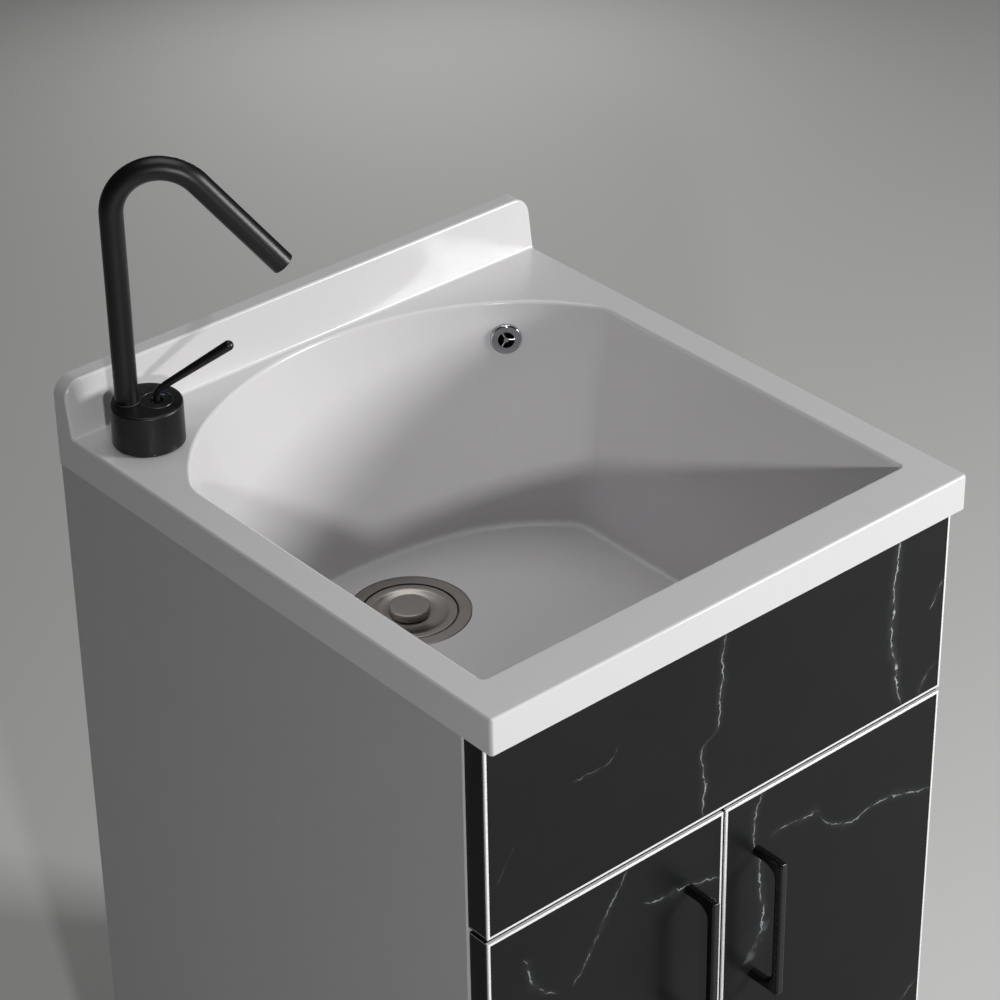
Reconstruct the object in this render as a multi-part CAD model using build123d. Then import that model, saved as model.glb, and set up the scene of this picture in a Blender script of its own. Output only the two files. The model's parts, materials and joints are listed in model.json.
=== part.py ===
from build123d import *
import os
from math import cos, hypot, pi, radians, sin

# A compact laundry sink: a one-piece glazed top with a deep bowl, standing on a two-door cabinet.
# Millimetres. X runs to the right, Y to the wall behind, Z up from the floor.
# The origin is on the floor, under the middle of the overall width and depth.

# ---- top ----
TOP_WIDTH = 500.0
TOP_DEPTH = 545.0
DECK_Z = 835.0
DECK_THICKNESS = 13.0
RIM_DROP = 32.0
SKIRT_THICKNESS = 12.0
FRONT_SKIRT_THICKNESS = 30.0
RIM_EDGE_R = 2.5
RIM_CORNER_R = 3.0
UPSTAND_HEIGHT = 49.0
UPSTAND_TOP_THICKNESS = 14.5
UPSTAND_FOOT_THICKNESS = 21.7
UPSTAND_COVE_R = 3.0
UPSTAND_CORNER_R = 16.0
UPSTAND_EDGE_R = 2.4

# ---- cabinet front ----
FRONT_OVERHANG = 12.0
SIDE_OVERHANG = 0.9
FRONT_PANEL_REVEAL = 2.1
FRONT_PANEL_THICKNESS = 21.0
SEAM_BELOW_DECK = 213.5
SEAM_GAP = 4.2
DOOR_GAP = 2.8
TRIM_FACE = 2.2
TRIM_DEPTH = 3.0
FACE_SETBACK = 0.3
HANDLE_CENTRES = 128.0
HANDLE_SECTION = 8.0
HANDLE_PROJECTION = 32.0
HANDLE_FROM_MIDDLE = 37.5
HANDLE_TOP_BELOW_DECK = 273.7
HANDLE_FILLET_R = 12.0
HANDLE_OUTER_R = 2.6
HANDLE_EDGE_R = 2.4
SCREW_R = 2.0
SCREW_DEPTH = 12.0
SCREW_HEAD_R = 4.0
SCREW_HEAD_DEPTH = 3.0
BUMPER_R = 5.0
BUMPER_HEIGHT = 1.1

# ---- overall box ----
OVERALL_DEPTH = TOP_DEPTH - FRONT_OVERHANG + HANDLE_PROJECTION
BACK_Y = OVERALL_DEPTH / 2
FRONT_EDGE_Y = BACK_Y - TOP_DEPTH
DOOR_FACE_Y = FRONT_EDGE_Y + FRONT_OVERHANG
DOOR_BACK_Y = DOOR_FACE_Y + FRONT_PANEL_THICKNESS
RIM_BOTTOM_Z = DECK_Z - RIM_DROP
DECK_UNDERSIDE_Z = DECK_Z - DECK_THICKNESS

# ---- bowl ----
BOWL_HALF_WIDTH = 220.5
BOWL_FRONT_Y = FRONT_EDGE_Y + 43.5
BOWL_FRONT_R = 3.5
BOWL_SIDE_END_Y = 124.7
BOWL_SHOULDER_R = 40.0
BOWL_SHOULDER_TURN = 30.7
BOWL_ARCH_R = 199.0
BOWL_ARCH_END = 59.7
BOWL_FLOOR_HALF_WIDTH = 202.5
BOWL_FLOOR_FRONT_Y = BOWL_FRONT_Y + 20.0
BOWL_FLOOR_FRONT_R = 32.0
BOWL_FLOOR_SIDE_END_Y = 136.0
BOWL_FLOOR_SHOULDER_R = 25.0
BOWL_FLOOR_SHOULDER_TURN = 40.0
BOWL_FLOOR_ARCH_R = 170.0
BOWL_FLOOR_ARCH_END = 75.0
BOWL_DEPTH = 221.0
BOWL_WALL = 9.0
BOWL_LIP_R = 3.2
BOWL_FLOOR_R = 8.0
FLOOR_Z = DECK_Z - BOWL_DEPTH
DRAIN_X = 0.0
DRAIN_Y = 142.0

# ---- cabinet carcass ----
CABINET_HALF_WIDTH = TOP_WIDTH / 2 - SIDE_OVERHANG
SIDE_THICKNESS = 16.0
CABINET_BOTTOM_Z = 100.0
CABINET_BACK_Y = BACK_Y - 0.3
CARCASS_FRONT_Y = DOOR_BACK_Y + 1.4
BASE_THICKNESS = 16.0
BACK_PANEL_THICKNESS = 5.0
BACK_PANEL_FRONT_Y = BACK_Y - 8.5
SERVICE_HALF_WIDTH = 219.0
SERVICE_BOTTOM_Z = 230.0
SERVICE_TOP_Z = 700.0
RAIL_HEIGHT = 70.0
RAIL_THICKNESS = 11.0
FRONT_RAIL_THICKNESS = 14.0
FRONT_RAIL_BOTTOM_Z = 600.0
FRONT_RAIL_TOP_Z = 640.0
SEALANT = 1.0
BRACKET_LEG = 18.0
BRACKET_THICKNESS = 2.0
BRACKET_HEIGHT = 40.0
BRACKET_BOTTOM_Z = 650.0
WALL_HOLE_SPACING = 400.0
WALL_HOLE_R = 3.5
SEAM_Z = DECK_Z - SEAM_BELOW_DECK
CARCASS_TOP_Z = RIM_BOTTOM_Z - SEALANT
INNER_HALF_WIDTH = CABINET_HALF_WIDTH - SIDE_THICKNESS

# ---- hinges and feet ----
HINGE_CUP_R = 17.5
HINGE_CUP_DEPTH = 11.5
HINGE_CUP_FROM_EDGE = 22.5
HINGE_INSET_FROM_ENDS = 80.0
HINGE_FLANGE_HALF_WIDTH = 12.0
HINGE_FLANGE_HALF_HEIGHT = 27.0
HINGE_FLANGE_THICKNESS = 1.0
HINGE_PLATE_BACK_Y = -158.0
HINGE_PLATE_LENGTH = 38.0
HINGE_PLATE_THICKNESS = 4.0
HINGE_ARM_THICKNESS = 10.0
FOOT_PAD_R = 27.0
FOOT_PAD_HEIGHT = 12.0
FOOT_STUD_R = 5.0
FOOT_LEG_R = 15.0
FOOT_LEG_BOTTOM_Z = 30.0
FOOT_FLANGE_R = 26.0
FOOT_FLANGE_THICKNESS = 3.0
FOOT_INSET = 48.0

# ---- tap ----
TAP_X = -202.5
TAP_Y = 219.6
TAP_TURN = -38.0
TAP_BODY_R = 30.0
TAP_BODY_HEIGHT = 37.0
TAP_HOLE_R = 17.5
TAP_GASKET = 1.2
TAP_NUT_FLATS = 38.0
TAP_NUT_HEIGHT = 11.0
TAP_WASHER_R = 22.0
TAP_WASHER_THICKNESS = 3.0
SHANK_R = 15.5
SHANK_LENGTH = 52.0
SPOUT_OFFSET = -15.5
SPOUT_R = 9.8
SPOUT_BORE_R = 8.3
SPOUT_STRAIGHT_TOP = 205.7
SPOUT_BEND_R = 39.1
SPOUT_DROP_ANGLE = 49.5
SPOUT_LEG = 97.7
SPOUT_SOCKET_DEPTH = 24.0
SPOUT_SOCKET_R = 10.2
SPOUT_FIT = 0.06
AERATOR_LENGTH = 8.0
CAP_OFFSET = 8.6
CAP_R = 13.4
CAP_HOLE_R = 5.4
CAP_THICKNESS = 4.0
CARTRIDGE_R = 12.4
CARTRIDGE_FLOOR = 5.0
TURRET_R = 5.02
TURRET_BORE_R = 5.1
TURRET_FLOOR = 23.5
LEVER_BALL_R = 3.6
LEVER_ROD_R = 2.75
LEVER_PIVOT_DEPTH = 6.0
LEVER_CORNER_HEIGHT = 45.9
LEVER_RISE_ANGLE = 32.8
LEVER_BEND_R = 9.0
LEVER_ROD_RUN = 8.5
LEVER_HANDLE_ROOT_R = 3.0
LEVER_HANDLE_TIP_R = 4.35
LEVER_HANDLE_LENGTH = 63.5
INLET_R = 4.5
INLET_DEPTH = 14.0
INLET_SPACING = 15.0
TAIL_R = 5.0
TAIL_BORE_R = 3.5
TAIL_BEND_R = 22.0
TAIL_END_Y = BACK_Y - 24.5
TAIL_FLANGE = 1.5
HOT_TAIL_Z = 640.0
COLD_TAIL_Z = 668.0
TAIL_NUT_FLATS = 19.0
TAIL_NUT_BORE_R = 7.5
TAIL_NUT_DEPTH = 12.0

# ---- waste ----
FLANGE_R = 54.0
FLANGE_THICKNESS = 2.5
STRAINER_BORE_R = 43.2
STRAINER_CUP_R = 44.4
STRAINER_LEDGE_R = 40.5
STRAINER_LEDGE_DROP = 9.0
STRAINER_DEPTH = 60.0
OUTLET_R = 23.9
OUTLET_BORE_R = 19.5
OUTLET_LENGTH = 30.0
BASKET_DEPTH = 35.0
PLUG_TRAVEL = 8.0
SEAL_THICKNESS = 4.0
COVER_R = 41.8
COVER_DISH_R = 34.0
COVER_CENTRE_R = 17.0
COVER_DISH_DEPTH = 2.2
COVER_SHEET = 1.4
COVER_KNOB_R = 18.0
COVER_KNOB_HEIGHT = 6.2
NUT_R = 55.0
NUT_HEIGHT = 10.0
STRAINER_GASKET = 3.0
PLUG_STEM_R = 3.05
PLUG_COLLAR_R = 7.0
PLUG_COLLAR_HEIGHT = 6.0
SEAL_R = 22.5
PIPE_R = 20.0
PIPE_BORE_R = 18.2
TRAP_HEAD_R = 33.0
TRAP_TOP_Z = 445.0
TRAP_HEAD_HEIGHT = 70.0
TRAP_CUP_HEIGHT = 92.0
TRAP_CUP_OVERLAP = 12.0
TRAP_WALL = 3.0
ARM_SOCKET_R = 24.0
ARM_SOCKET_REACH = 50.0
ARM_Z = TRAP_TOP_Z - 33.0

# ---- overflow ----
OVERFLOW_X = 163.1
OVERFLOW_Y = 198.8
OVERFLOW_BELOW_DECK = 35.5
OVERFLOW_BEARING = 53.7
OVERFLOW_TILT = 5.0
OVERFLOW_RING_R = 14.0
OVERFLOW_HOLE_R = 10.0
OVERFLOW_PIPE_R = 10.5
OVERFLOW_PIPE_BORE_R = 8.6
OVERFLOW_BEND_R = 40.0
OVERFLOW_PORT_DROP = 42.0
OVERFLOW_PIPE_BEHIND = 17.0
OVERFLOW_PIPE_TOP_DROP = 18.0

os.makedirs("parts", exist_ok=True)


def save(solid, node):
    """Write one node as one STEP file."""
    export_step(Compound(children=list(solid.solids())), "parts/" + node + ".step")


def block(x0, x1, y0, y1, z0, z1):
    """A box between two corners."""
    centre = Pos((x0 + x1) / 2, (y0 + y1) / 2, (z0 + z1) / 2)
    return centre * Box(abs(x1 - x0), abs(y1 - y0), abs(z1 - z0))


def post(x, y, z0, z1, radius):
    """An upright cylinder from z0 to z1."""
    return Pos(x, y, (z0 + z1) / 2) * Cylinder(radius, z1 - z0)


def tube(x, y, z0, z1, outer, inner):
    """An upright tube from z0 to z1."""
    return post(x, y, z0, z1, outer) - post(x, y, z0 - 1, z1 + 1, inner)


def bar_along_y(x, z, y0, y1, radius):
    """A cylinder along Y."""
    return Pos(x, (y0 + y1) / 2, z) * Rot(90, 0, 0) * Cylinder(radius, y1 - y0)


def hex_ring(x, y, z0, z1, across_flats, bore):
    """An upright hexagonal nut."""
    prism = extrude(RegularPolygon(across_flats / 2, 6, major_radius=False), z1 - z0)
    return Pos(x, y, z0) * prism - post(x, y, z0 - 1, z1 + 1, bore)


# ---------------------------------------------------------------- top

def bowl_section(fall, wall, z):
    """The plan outline, thickened by wall, at a share of the way from deck (0) to floor (1)."""
    def between(at_deck, at_floor):
        return at_deck + (at_floor - at_deck) * fall

    half = between(BOWL_HALF_WIDTH, BOWL_FLOOR_HALF_WIDTH)
    front = between(BOWL_FRONT_Y, BOWL_FLOOR_FRONT_Y)
    front_r = between(BOWL_FRONT_R, BOWL_FLOOR_FRONT_R)
    side_end = between(BOWL_SIDE_END_Y, BOWL_FLOOR_SIDE_END_Y)
    shoulder_r = between(BOWL_SHOULDER_R, BOWL_FLOOR_SHOULDER_R)
    turn = radians(between(BOWL_SHOULDER_TURN, BOWL_FLOOR_SHOULDER_TURN))
    arch_r = between(BOWL_ARCH_R, BOWL_FLOOR_ARCH_R)
    arch_end = radians(between(BOWL_ARCH_END, BOWL_FLOOR_ARCH_END))
    shoulder_x = half - shoulder_r
    arch_x = shoulder_x - (arch_r - shoulder_r) * cos(turn)
    arch_y = side_end - (arch_r - shoulder_r) * sin(turn)
    crown_r = arch_r + arch_x / cos(arch_end)
    crown_y = arch_y - (crown_r - arch_r) * sin(arch_end)

    def front_point(side, angle):
        reach = front_r + wall
        return (side * (half - front_r + reach * cos(angle)), front + front_r - reach * sin(angle))

    def shoulder_point(side, angle):
        reach = shoulder_r + wall
        return (side * (shoulder_x + reach * cos(angle)), side_end + reach * sin(angle))

    def arch_point(side, angle):
        reach = arch_r + wall
        return (side * (arch_x + reach * cos(angle)), arch_y + reach * sin(angle))

    def arch_side(side):
        middle = (turn + arch_end) / 2
        return [
            Line(front_point(side, 0), shoulder_point(side, 0)),
            ThreePointArc(shoulder_point(side, 0), shoulder_point(side, turn / 2), arch_point(side, turn)),
            ThreePointArc(arch_point(side, turn), arch_point(side, middle), arch_point(side, arch_end)),
        ]

    crown_top = (0, crown_y + crown_r + wall)
    crown = ThreePointArc(arch_point(1, arch_end), crown_top, arch_point(-1, arch_end))
    nose = [
        ThreePointArc(front_point(-1, 0), front_point(-1, pi / 4), front_point(-1, pi / 2)),
        Line(front_point(-1, pi / 2), front_point(1, pi / 2)),
        ThreePointArc(front_point(1, pi / 2), front_point(1, pi / 4), front_point(1, 0)),
    ]
    outline = Wire([*arch_side(1), crown, *arch_side(-1), *nose])
    return Pos(0, 0, z) * Face(outline)


def bowl_form(wall, above):
    """The bowl's tapering form, wall thicker all round than its inside, reaching above the deck."""
    top = bowl_section(-above / BOWL_DEPTH, wall, DECK_Z + above)
    bottom = bowl_section(1 + wall / BOWL_DEPTH, wall, FLOOR_Z - wall)
    form = loft([bottom, top], ruled=True)
    floor_edges = form.faces().sort_by(Axis.Z)[0].edges()
    return fillet(floor_edges, BOWL_FLOOR_R + wall / 2)


def overflow_frame():
    """The overflow's place on the arched wall, its Z axis pointing out through the wall."""
    bearing = radians(OVERFLOW_BEARING)
    tilt = radians(OVERFLOW_TILT)
    outward = (cos(bearing) * cos(tilt), sin(bearing) * cos(tilt), -sin(tilt))
    sideways = (-sin(bearing), cos(bearing), 0)
    return Plane(
        origin=(OVERFLOW_X, OVERFLOW_Y, DECK_Z - OVERFLOW_BELOW_DECK), x_dir=sideways, z_dir=outward,
    )


def make_rim_slab():
    """The deck and skirt as one solid plate, its outer corners and top edges eased."""
    slab = block(-TOP_WIDTH / 2, TOP_WIDTH / 2, FRONT_EDGE_Y, BACK_Y, RIM_BOTTOM_Z, DECK_Z)
    front_corners = slab.edges().filter_by(Axis.Z).sort_by(Axis.Y)[:2]
    slab = fillet(front_corners, RIM_CORNER_R)
    top_edges = slab.faces().sort_by(Axis.Z)[-1].edges()
    top_edges = top_edges.filter_by(lambda e: e.center().Y < BACK_Y - 1)
    return fillet(top_edges, RIM_EDGE_R)


def make_upstand():
    """The low wall along the back, its face leaning back from a small cove, its two top ends rounded."""
    top_z = DECK_Z + UPSTAND_HEIGHT
    low_z = DECK_Z - RIM_EDGE_R
    foot_y = BACK_Y - UPSTAND_FOOT_THICKNESS
    toe_y = foot_y - 2 * UPSTAND_COVE_R
    outline = make_face(Plane.YZ * Polyline(
        (BACK_Y, low_z), (BACK_Y, top_z), (BACK_Y - UPSTAND_TOP_THICKNESS, top_z),
        (foot_y, DECK_Z), (toe_y, DECK_Z), (toe_y, low_z), close=True,
    ))
    inner_corner = outline.vertices().sort_by_distance((0, foot_y, DECK_Z))[0]
    profile = fillet(inner_corner, UPSTAND_COVE_R)
    upstand = Pos(-TOP_WIDTH / 2, 0, 0) * extrude(profile, TOP_WIDTH, dir=(1, 0, 0))
    ends = upstand.edges().filter_by(Axis.Y).group_by(Axis.Z)[-1]
    upstand = fillet(ends, UPSTAND_CORNER_R)
    leaning = upstand.faces().filter_by(lambda f: f.normal_at().Y < -0.9).sort_by(SortBy.AREA)[-1]
    crest = leaning.edges().filter_by(lambda e: e.center().Z > DECK_Z + UPSTAND_HEIGHT / 4)
    return fillet(crest, UPSTAND_EDGE_R)


def skirt_inside(z0, z1):
    """The hollow inside the skirt, between two heights."""
    return block(
        -TOP_WIDTH / 2 + SKIRT_THICKNESS, TOP_WIDTH / 2 - SKIRT_THICKNESS,
        FRONT_EDGE_Y + FRONT_SKIRT_THICKNESS, BACK_Y - SKIRT_THICKNESS, z0, z1,
    )


def make_basin_top():
    """The deck, skirt, upstand and bowl in one piece, with the holes for tap, drain and overflow."""
    hollow = skirt_inside(RIM_BOTTOM_Z - 1, DECK_UNDERSIDE_Z)
    top = make_rim_slab() - hollow + make_upstand() + bowl_form(BOWL_WALL, -1)
    top -= bowl_form(0, 1)
    top -= post(DRAIN_X, DRAIN_Y, FLOOR_Z - FLANGE_THICKNESS, FLOOR_Z + 1, FLANGE_R + 0.8)
    top -= post(DRAIN_X, DRAIN_Y, FLOOR_Z - 2 * BOWL_WALL, FLOOR_Z, STRAINER_CUP_R + 0.6)
    top -= post(TAP_X, TAP_Y, DECK_UNDERSIDE_Z - 1, DECK_Z + 1, TAP_HOLE_R)
    through_wall = overflow_frame() * Pos(0, 0, 3) * Cylinder(OVERFLOW_HOLE_R, 30)
    seat = overflow_frame() * Pos(0, 0, -4) * Cylinder(OVERFLOW_RING_R + 0.2, 10)
    top = top - through_wall - seat
    deck = top.faces().filter_by(lambda f: abs(f.center().Z - DECK_Z) < 0.01).sort_by(SortBy.AREA)[-1]
    lip = deck.inner_wires().sort_by(SortBy.LENGTH)[-1].edges()
    return fillet(lip, BOWL_LIP_R)


# ---------------------------------------------------------------- cabinet

def make_sealant():
    """The bead between the top's skirt and the cabinet."""
    outer = block(
        -CABINET_HALF_WIDTH, CABINET_HALF_WIDTH, DOOR_FACE_Y, CABINET_BACK_Y, CARCASS_TOP_Z, RIM_BOTTOM_Z,
    )
    return outer - skirt_inside(CARCASS_TOP_Z - 1, RIM_BOTTOM_Z + 1)


def make_side_panel(side):
    return block(
        side * INNER_HALF_WIDTH, side * CABINET_HALF_WIDTH,
        CARCASS_FRONT_Y, CABINET_BACK_Y, CABINET_BOTTOM_Z, CARCASS_TOP_Z,
    )


def make_base_panel():
    return block(
        -INNER_HALF_WIDTH, INNER_HALF_WIDTH, CARCASS_FRONT_Y, BACK_PANEL_FRONT_Y,
        CABINET_BOTTOM_Z, CABINET_BOTTOM_Z + BASE_THICKNESS,
    )


def wall_holes():
    """Two fixing holes through the rear rail and the back panel."""
    z = CARCASS_TOP_Z - RAIL_HEIGHT / 2
    ends = (BACK_PANEL_FRONT_Y - RAIL_THICKNESS - 1, BACK_Y)
    left = bar_along_y(-WALL_HOLE_SPACING / 2, z, *ends, WALL_HOLE_R)
    right = bar_along_y(WALL_HOLE_SPACING / 2, z, *ends, WALL_HOLE_R)
    return left + right


def make_back_panel():
    """A thin back with a round-cornered service opening and two fixing holes."""
    sheet = block(
        -INNER_HALF_WIDTH, INNER_HALF_WIDTH, BACK_PANEL_FRONT_Y, BACK_PANEL_FRONT_Y + BACK_PANEL_THICKNESS,
        CABINET_BOTTOM_Z, CARCASS_TOP_Z,
    )
    opening = block(
        -SERVICE_HALF_WIDTH, SERVICE_HALF_WIDTH, BACK_PANEL_FRONT_Y - 1, BACK_Y,
        SERVICE_BOTTOM_Z, SERVICE_TOP_Z,
    )
    corners = opening.edges().filter_by(Axis.Y)
    return sheet - fillet(corners, 12) - wall_holes()


def make_rear_rail():
    rail = block(
        -INNER_HALF_WIDTH, INNER_HALF_WIDTH, BACK_PANEL_FRONT_Y - RAIL_THICKNESS, BACK_PANEL_FRONT_Y,
        CARCASS_TOP_Z - RAIL_HEIGHT, CARCASS_TOP_Z,
    )
    return rail - wall_holes()


def make_front_rail():
    return block(
        -INNER_HALF_WIDTH, INNER_HALF_WIDTH, CARCASS_FRONT_Y, CARCASS_FRONT_Y + FRONT_RAIL_THICKNESS,
        FRONT_RAIL_BOTTOM_Z, FRONT_RAIL_TOP_Z,
    )


# ---------------------------------------------------------------- front panels

def make_trim(x0, x1, z0, z1):
    """A bright edge profile round the front of a panel, its corners mitred and slightly eased."""
    outer = block(x0, x1, DOOR_FACE_Y, DOOR_FACE_Y + TRIM_DEPTH, z0, z1)
    front_edges = outer.faces().sort_by(Axis.Y)[0].edges()
    outer = fillet(front_edges, 0.6)
    inner = block(
        x0 + TRIM_FACE, x1 - TRIM_FACE, DOOR_FACE_Y - 1, DOOR_FACE_Y + TRIM_DEPTH + 1,
        z0 + TRIM_FACE, z1 - TRIM_FACE,
    )
    return outer - inner


def make_front_panel(x0, x1, z0, z1, back_y):
    """A panel core whose face fills the trim's opening and whose edges stand behind the trim."""
    behind = block(x0, x1, DOOR_FACE_Y + TRIM_DEPTH, back_y, z0, z1)
    face = block(
        x0 + TRIM_FACE, x1 - TRIM_FACE, DOOR_FACE_Y + FACE_SETBACK, back_y, z0 + TRIM_FACE, z1 - TRIM_FACE,
    )
    return behind + face


DOOR_OUTER_X = CABINET_HALF_WIDTH - FRONT_PANEL_REVEAL
FASCIA_SPAN = (-DOOR_OUTER_X, DOOR_OUTER_X, SEAM_Z + SEAM_GAP / 2, CARCASS_TOP_Z)
DOOR_BOTTOM_Z = CABINET_BOTTOM_Z + 2
DOOR_TOP_Z = SEAM_Z - SEAM_GAP / 2
HANDLE_TOP_Z = DECK_Z - HANDLE_TOP_BELOW_DECK
HANDLE_BOTTOM_Z = HANDLE_TOP_Z - HANDLE_CENTRES
HINGE_HEIGHTS = (DOOR_BOTTOM_Z + HINGE_INSET_FROM_ENDS, DOOR_TOP_Z - HINGE_INSET_FROM_ENDS)
HINGE_CUP_X = DOOR_OUTER_X - HINGE_CUP_FROM_EDGE


def door_span(side):
    """A door's left, right, bottom and top."""
    low, high = sorted((side * DOOR_GAP / 2, side * DOOR_OUTER_X))
    return low, high, DOOR_BOTTOM_Z, DOOR_TOP_Z


def make_fascia_brackets():
    """Two angles that hold the fascia to the side panels."""
    pair = []
    low, high = BRACKET_BOTTOM_Z, BRACKET_BOTTOM_Z + BRACKET_HEIGHT
    for side in (-1, 1):
        inner = side * INNER_HALF_WIDTH
        leg_x = inner - side * BRACKET_LEG
        web_x = inner - side * BRACKET_THICKNESS
        on_fascia = block(inner, leg_x, CARCASS_FRONT_Y, CARCASS_FRONT_Y + BRACKET_THICKNESS, low, high)
        on_side = block(inner, web_x, CARCASS_FRONT_Y, CARCASS_FRONT_Y + BRACKET_LEG, low, high)
        pair.append(on_fascia + on_side)
    return Compound(children=pair)


def make_door_panel(side):
    """A door with its hinge cups and handle screw holes cut from behind."""
    panel = make_front_panel(*door_span(side), DOOR_BACK_Y)
    cup_x = side * HINGE_CUP_X
    for z in HINGE_HEIGHTS:
        panel -= bar_along_y(cup_x, z, DOOR_BACK_Y - HINGE_CUP_DEPTH, DOOR_BACK_Y + 1, HINGE_CUP_R)
    x = side * HANDLE_FROM_MIDDLE
    for z in (HANDLE_TOP_Z, HANDLE_BOTTOM_Z):
        panel -= bar_along_y(x, z, DOOR_FACE_Y - 1, DOOR_BACK_Y + 1, SCREW_R + 0.2)
        panel -= bar_along_y(x, z, DOOR_BACK_Y - SCREW_HEAD_DEPTH, DOOR_BACK_Y + 1, SCREW_HEAD_R + 0.4)
    return panel


def make_handle(side):
    """A square-section bow handle, its inner corners eased far more than its outer ones."""
    x = side * HANDLE_FROM_MIDDLE
    half = HANDLE_SECTION / 2
    root_y = DOOR_FACE_Y + FACE_SETBACK
    nose_y = DOOR_FACE_Y - HANDLE_PROJECTION
    outer = block(x - half, x + half, nose_y, root_y, HANDLE_BOTTOM_Z - half, HANDLE_TOP_Z + half)
    outer_corners = outer.edges().filter_by(Axis.X).group_by(Axis.Y)[0]
    outer = fillet(outer_corners, HANDLE_OUTER_R)
    grip = block(
        x - HANDLE_SECTION, x + HANDLE_SECTION, nose_y + HANDLE_SECTION, root_y + HANDLE_SECTION,
        HANDLE_BOTTOM_Z + half, HANDLE_TOP_Z - half,
    )
    inner_corners = grip.edges().filter_by(Axis.X).group_by(Axis.Y)[0]
    bow = outer - fillet(inner_corners, HANDLE_FILLET_R)
    rims = bow.edges().filter_by(
        lambda e: abs(abs(e.center().X - x) - half) < 0.01 and e.center().Y < root_y - 0.1
    )
    bow = fillet(rims, HANDLE_EDGE_R)
    for z in (HANDLE_TOP_Z, HANDLE_BOTTOM_Z):
        bow -= bar_along_y(x, z, root_y - SCREW_DEPTH - 2, root_y + 1, SCREW_R)
    return bow


def make_handle_screws(side):
    """Two screws from the door's back into the handle's feet."""
    pair = []
    x = side * HANDLE_FROM_MIDDLE
    tip_y = DOOR_FACE_Y + FACE_SETBACK - SCREW_DEPTH
    for z in (HANDLE_TOP_Z, HANDLE_BOTTOM_Z):
        stem = bar_along_y(x, z, tip_y, DOOR_BACK_Y - 1, SCREW_R)
        head = bar_along_y(x, z, DOOR_BACK_Y - SCREW_HEAD_DEPTH, DOOR_BACK_Y - 0.6, SCREW_HEAD_R)
        slot = block(x - 3.2, x + 3.2, DOOR_BACK_Y - 1.8, DOOR_BACK_Y, z - 0.5, z + 0.5)
        pair.append(stem + head - slot)
    return Compound(children=pair)


def make_door_bumpers(side):
    """Two soft dots on the door's back, near its free edge."""
    x = side * (DOOR_GAP / 2 + 14)
    heights = (DOOR_BOTTOM_Z + 8, DOOR_TOP_Z - 9)
    return Compound(children=[
        bar_along_y(x, z, DOOR_BACK_Y, DOOR_BACK_Y + BUMPER_HEIGHT, BUMPER_R) for z in heights
    ])


def make_hinge_cups(side):
    """Two pressed cups let into the door's back, each with its flange."""
    pair = []
    x = side * HINGE_CUP_X
    for z in HINGE_HEIGHTS:
        cup = bar_along_y(x, z, DOOR_BACK_Y - HINGE_CUP_DEPTH, DOOR_BACK_Y, HINGE_CUP_R)
        flange = block(
            x - HINGE_FLANGE_HALF_WIDTH, x + HINGE_FLANGE_HALF_WIDTH,
            DOOR_BACK_Y, DOOR_BACK_Y + HINGE_FLANGE_THICKNESS,
            z - HINGE_FLANGE_HALF_HEIGHT, z + HINGE_FLANGE_HALF_HEIGHT,
        )
        well = bar_along_y(x, z, DOOR_BACK_Y - HINGE_CUP_DEPTH + 1.2, DOOR_BACK_Y + 2, HINGE_CUP_R - 2)
        well &= block(x - 11, x + 11, DOOR_BACK_Y - 20, DOOR_BACK_Y + 2, z - 17, z + 17)
        pair.append(cup + flange - well)
    return Compound(children=pair)


def make_hinge_arms(side):
    """Two arms on mounting plates inside the side panel, their noses in the cups."""
    pair = []
    wall = side * INNER_HALF_WIDTH
    plate_x = wall - side * HINGE_PLATE_THICKNESS
    arm_x = plate_x - side * HINGE_ARM_THICKNESS
    plate_front_y = HINGE_PLATE_BACK_Y - HINGE_PLATE_LENGTH
    for z in HINGE_HEIGHTS:
        plate = block(wall, plate_x, plate_front_y, HINGE_PLATE_BACK_Y, z - 26, z + 26)
        arm = block(plate_x, arm_x, DOOR_BACK_Y + 4, HINGE_PLATE_BACK_Y, z - 7, z + 7)
        nose = block(plate_x - side, arm_x + side * 2, DOOR_BACK_Y - 6, DOOR_BACK_Y + 6, z - 5, z + 5)
        pair.append(plate + arm + nose)
    return Compound(children=pair)


# ---------------------------------------------------------------- feet

def foot_places():
    """The four feet's centres, in from the cabinet's corners."""
    x = CABINET_HALF_WIDTH - FOOT_INSET
    front = CARCASS_FRONT_Y + FOOT_INSET
    back = BACK_PANEL_FRONT_Y - FOOT_INSET
    return [(sx * x, y) for sx in (-1, 1) for y in (front, back)]


def make_foot_legs():
    """A flanged leg under each corner of the base, bored for its screw."""
    legs = []
    for x, y in foot_places():
        leg = post(x, y, FOOT_LEG_BOTTOM_Z, CABINET_BOTTOM_Z, FOOT_LEG_R)
        leg = chamfer(leg.faces().sort_by(Axis.Z)[0].edges(), 2)
        leg += post(x, y, CABINET_BOTTOM_Z - FOOT_FLANGE_THICKNESS, CABINET_BOTTOM_Z, FOOT_FLANGE_R)
        legs.append(leg - post(x, y, FOOT_LEG_BOTTOM_Z - 1, CABINET_BOTTOM_Z - 10, FOOT_STUD_R))
    return Compound(children=legs)


def make_foot_studs():
    """A screw for each foot, with the hexagon that turns it."""
    return Compound(children=[
        post(x, y, FOOT_PAD_HEIGHT - 6, CABINET_BOTTOM_Z - 14, FOOT_STUD_R)
        + hex_ring(x, y, FOOT_PAD_HEIGHT + 3, FOOT_PAD_HEIGHT + 10, 17, FOOT_STUD_R - 1)
        for x, y in foot_places()
    ])


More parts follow.
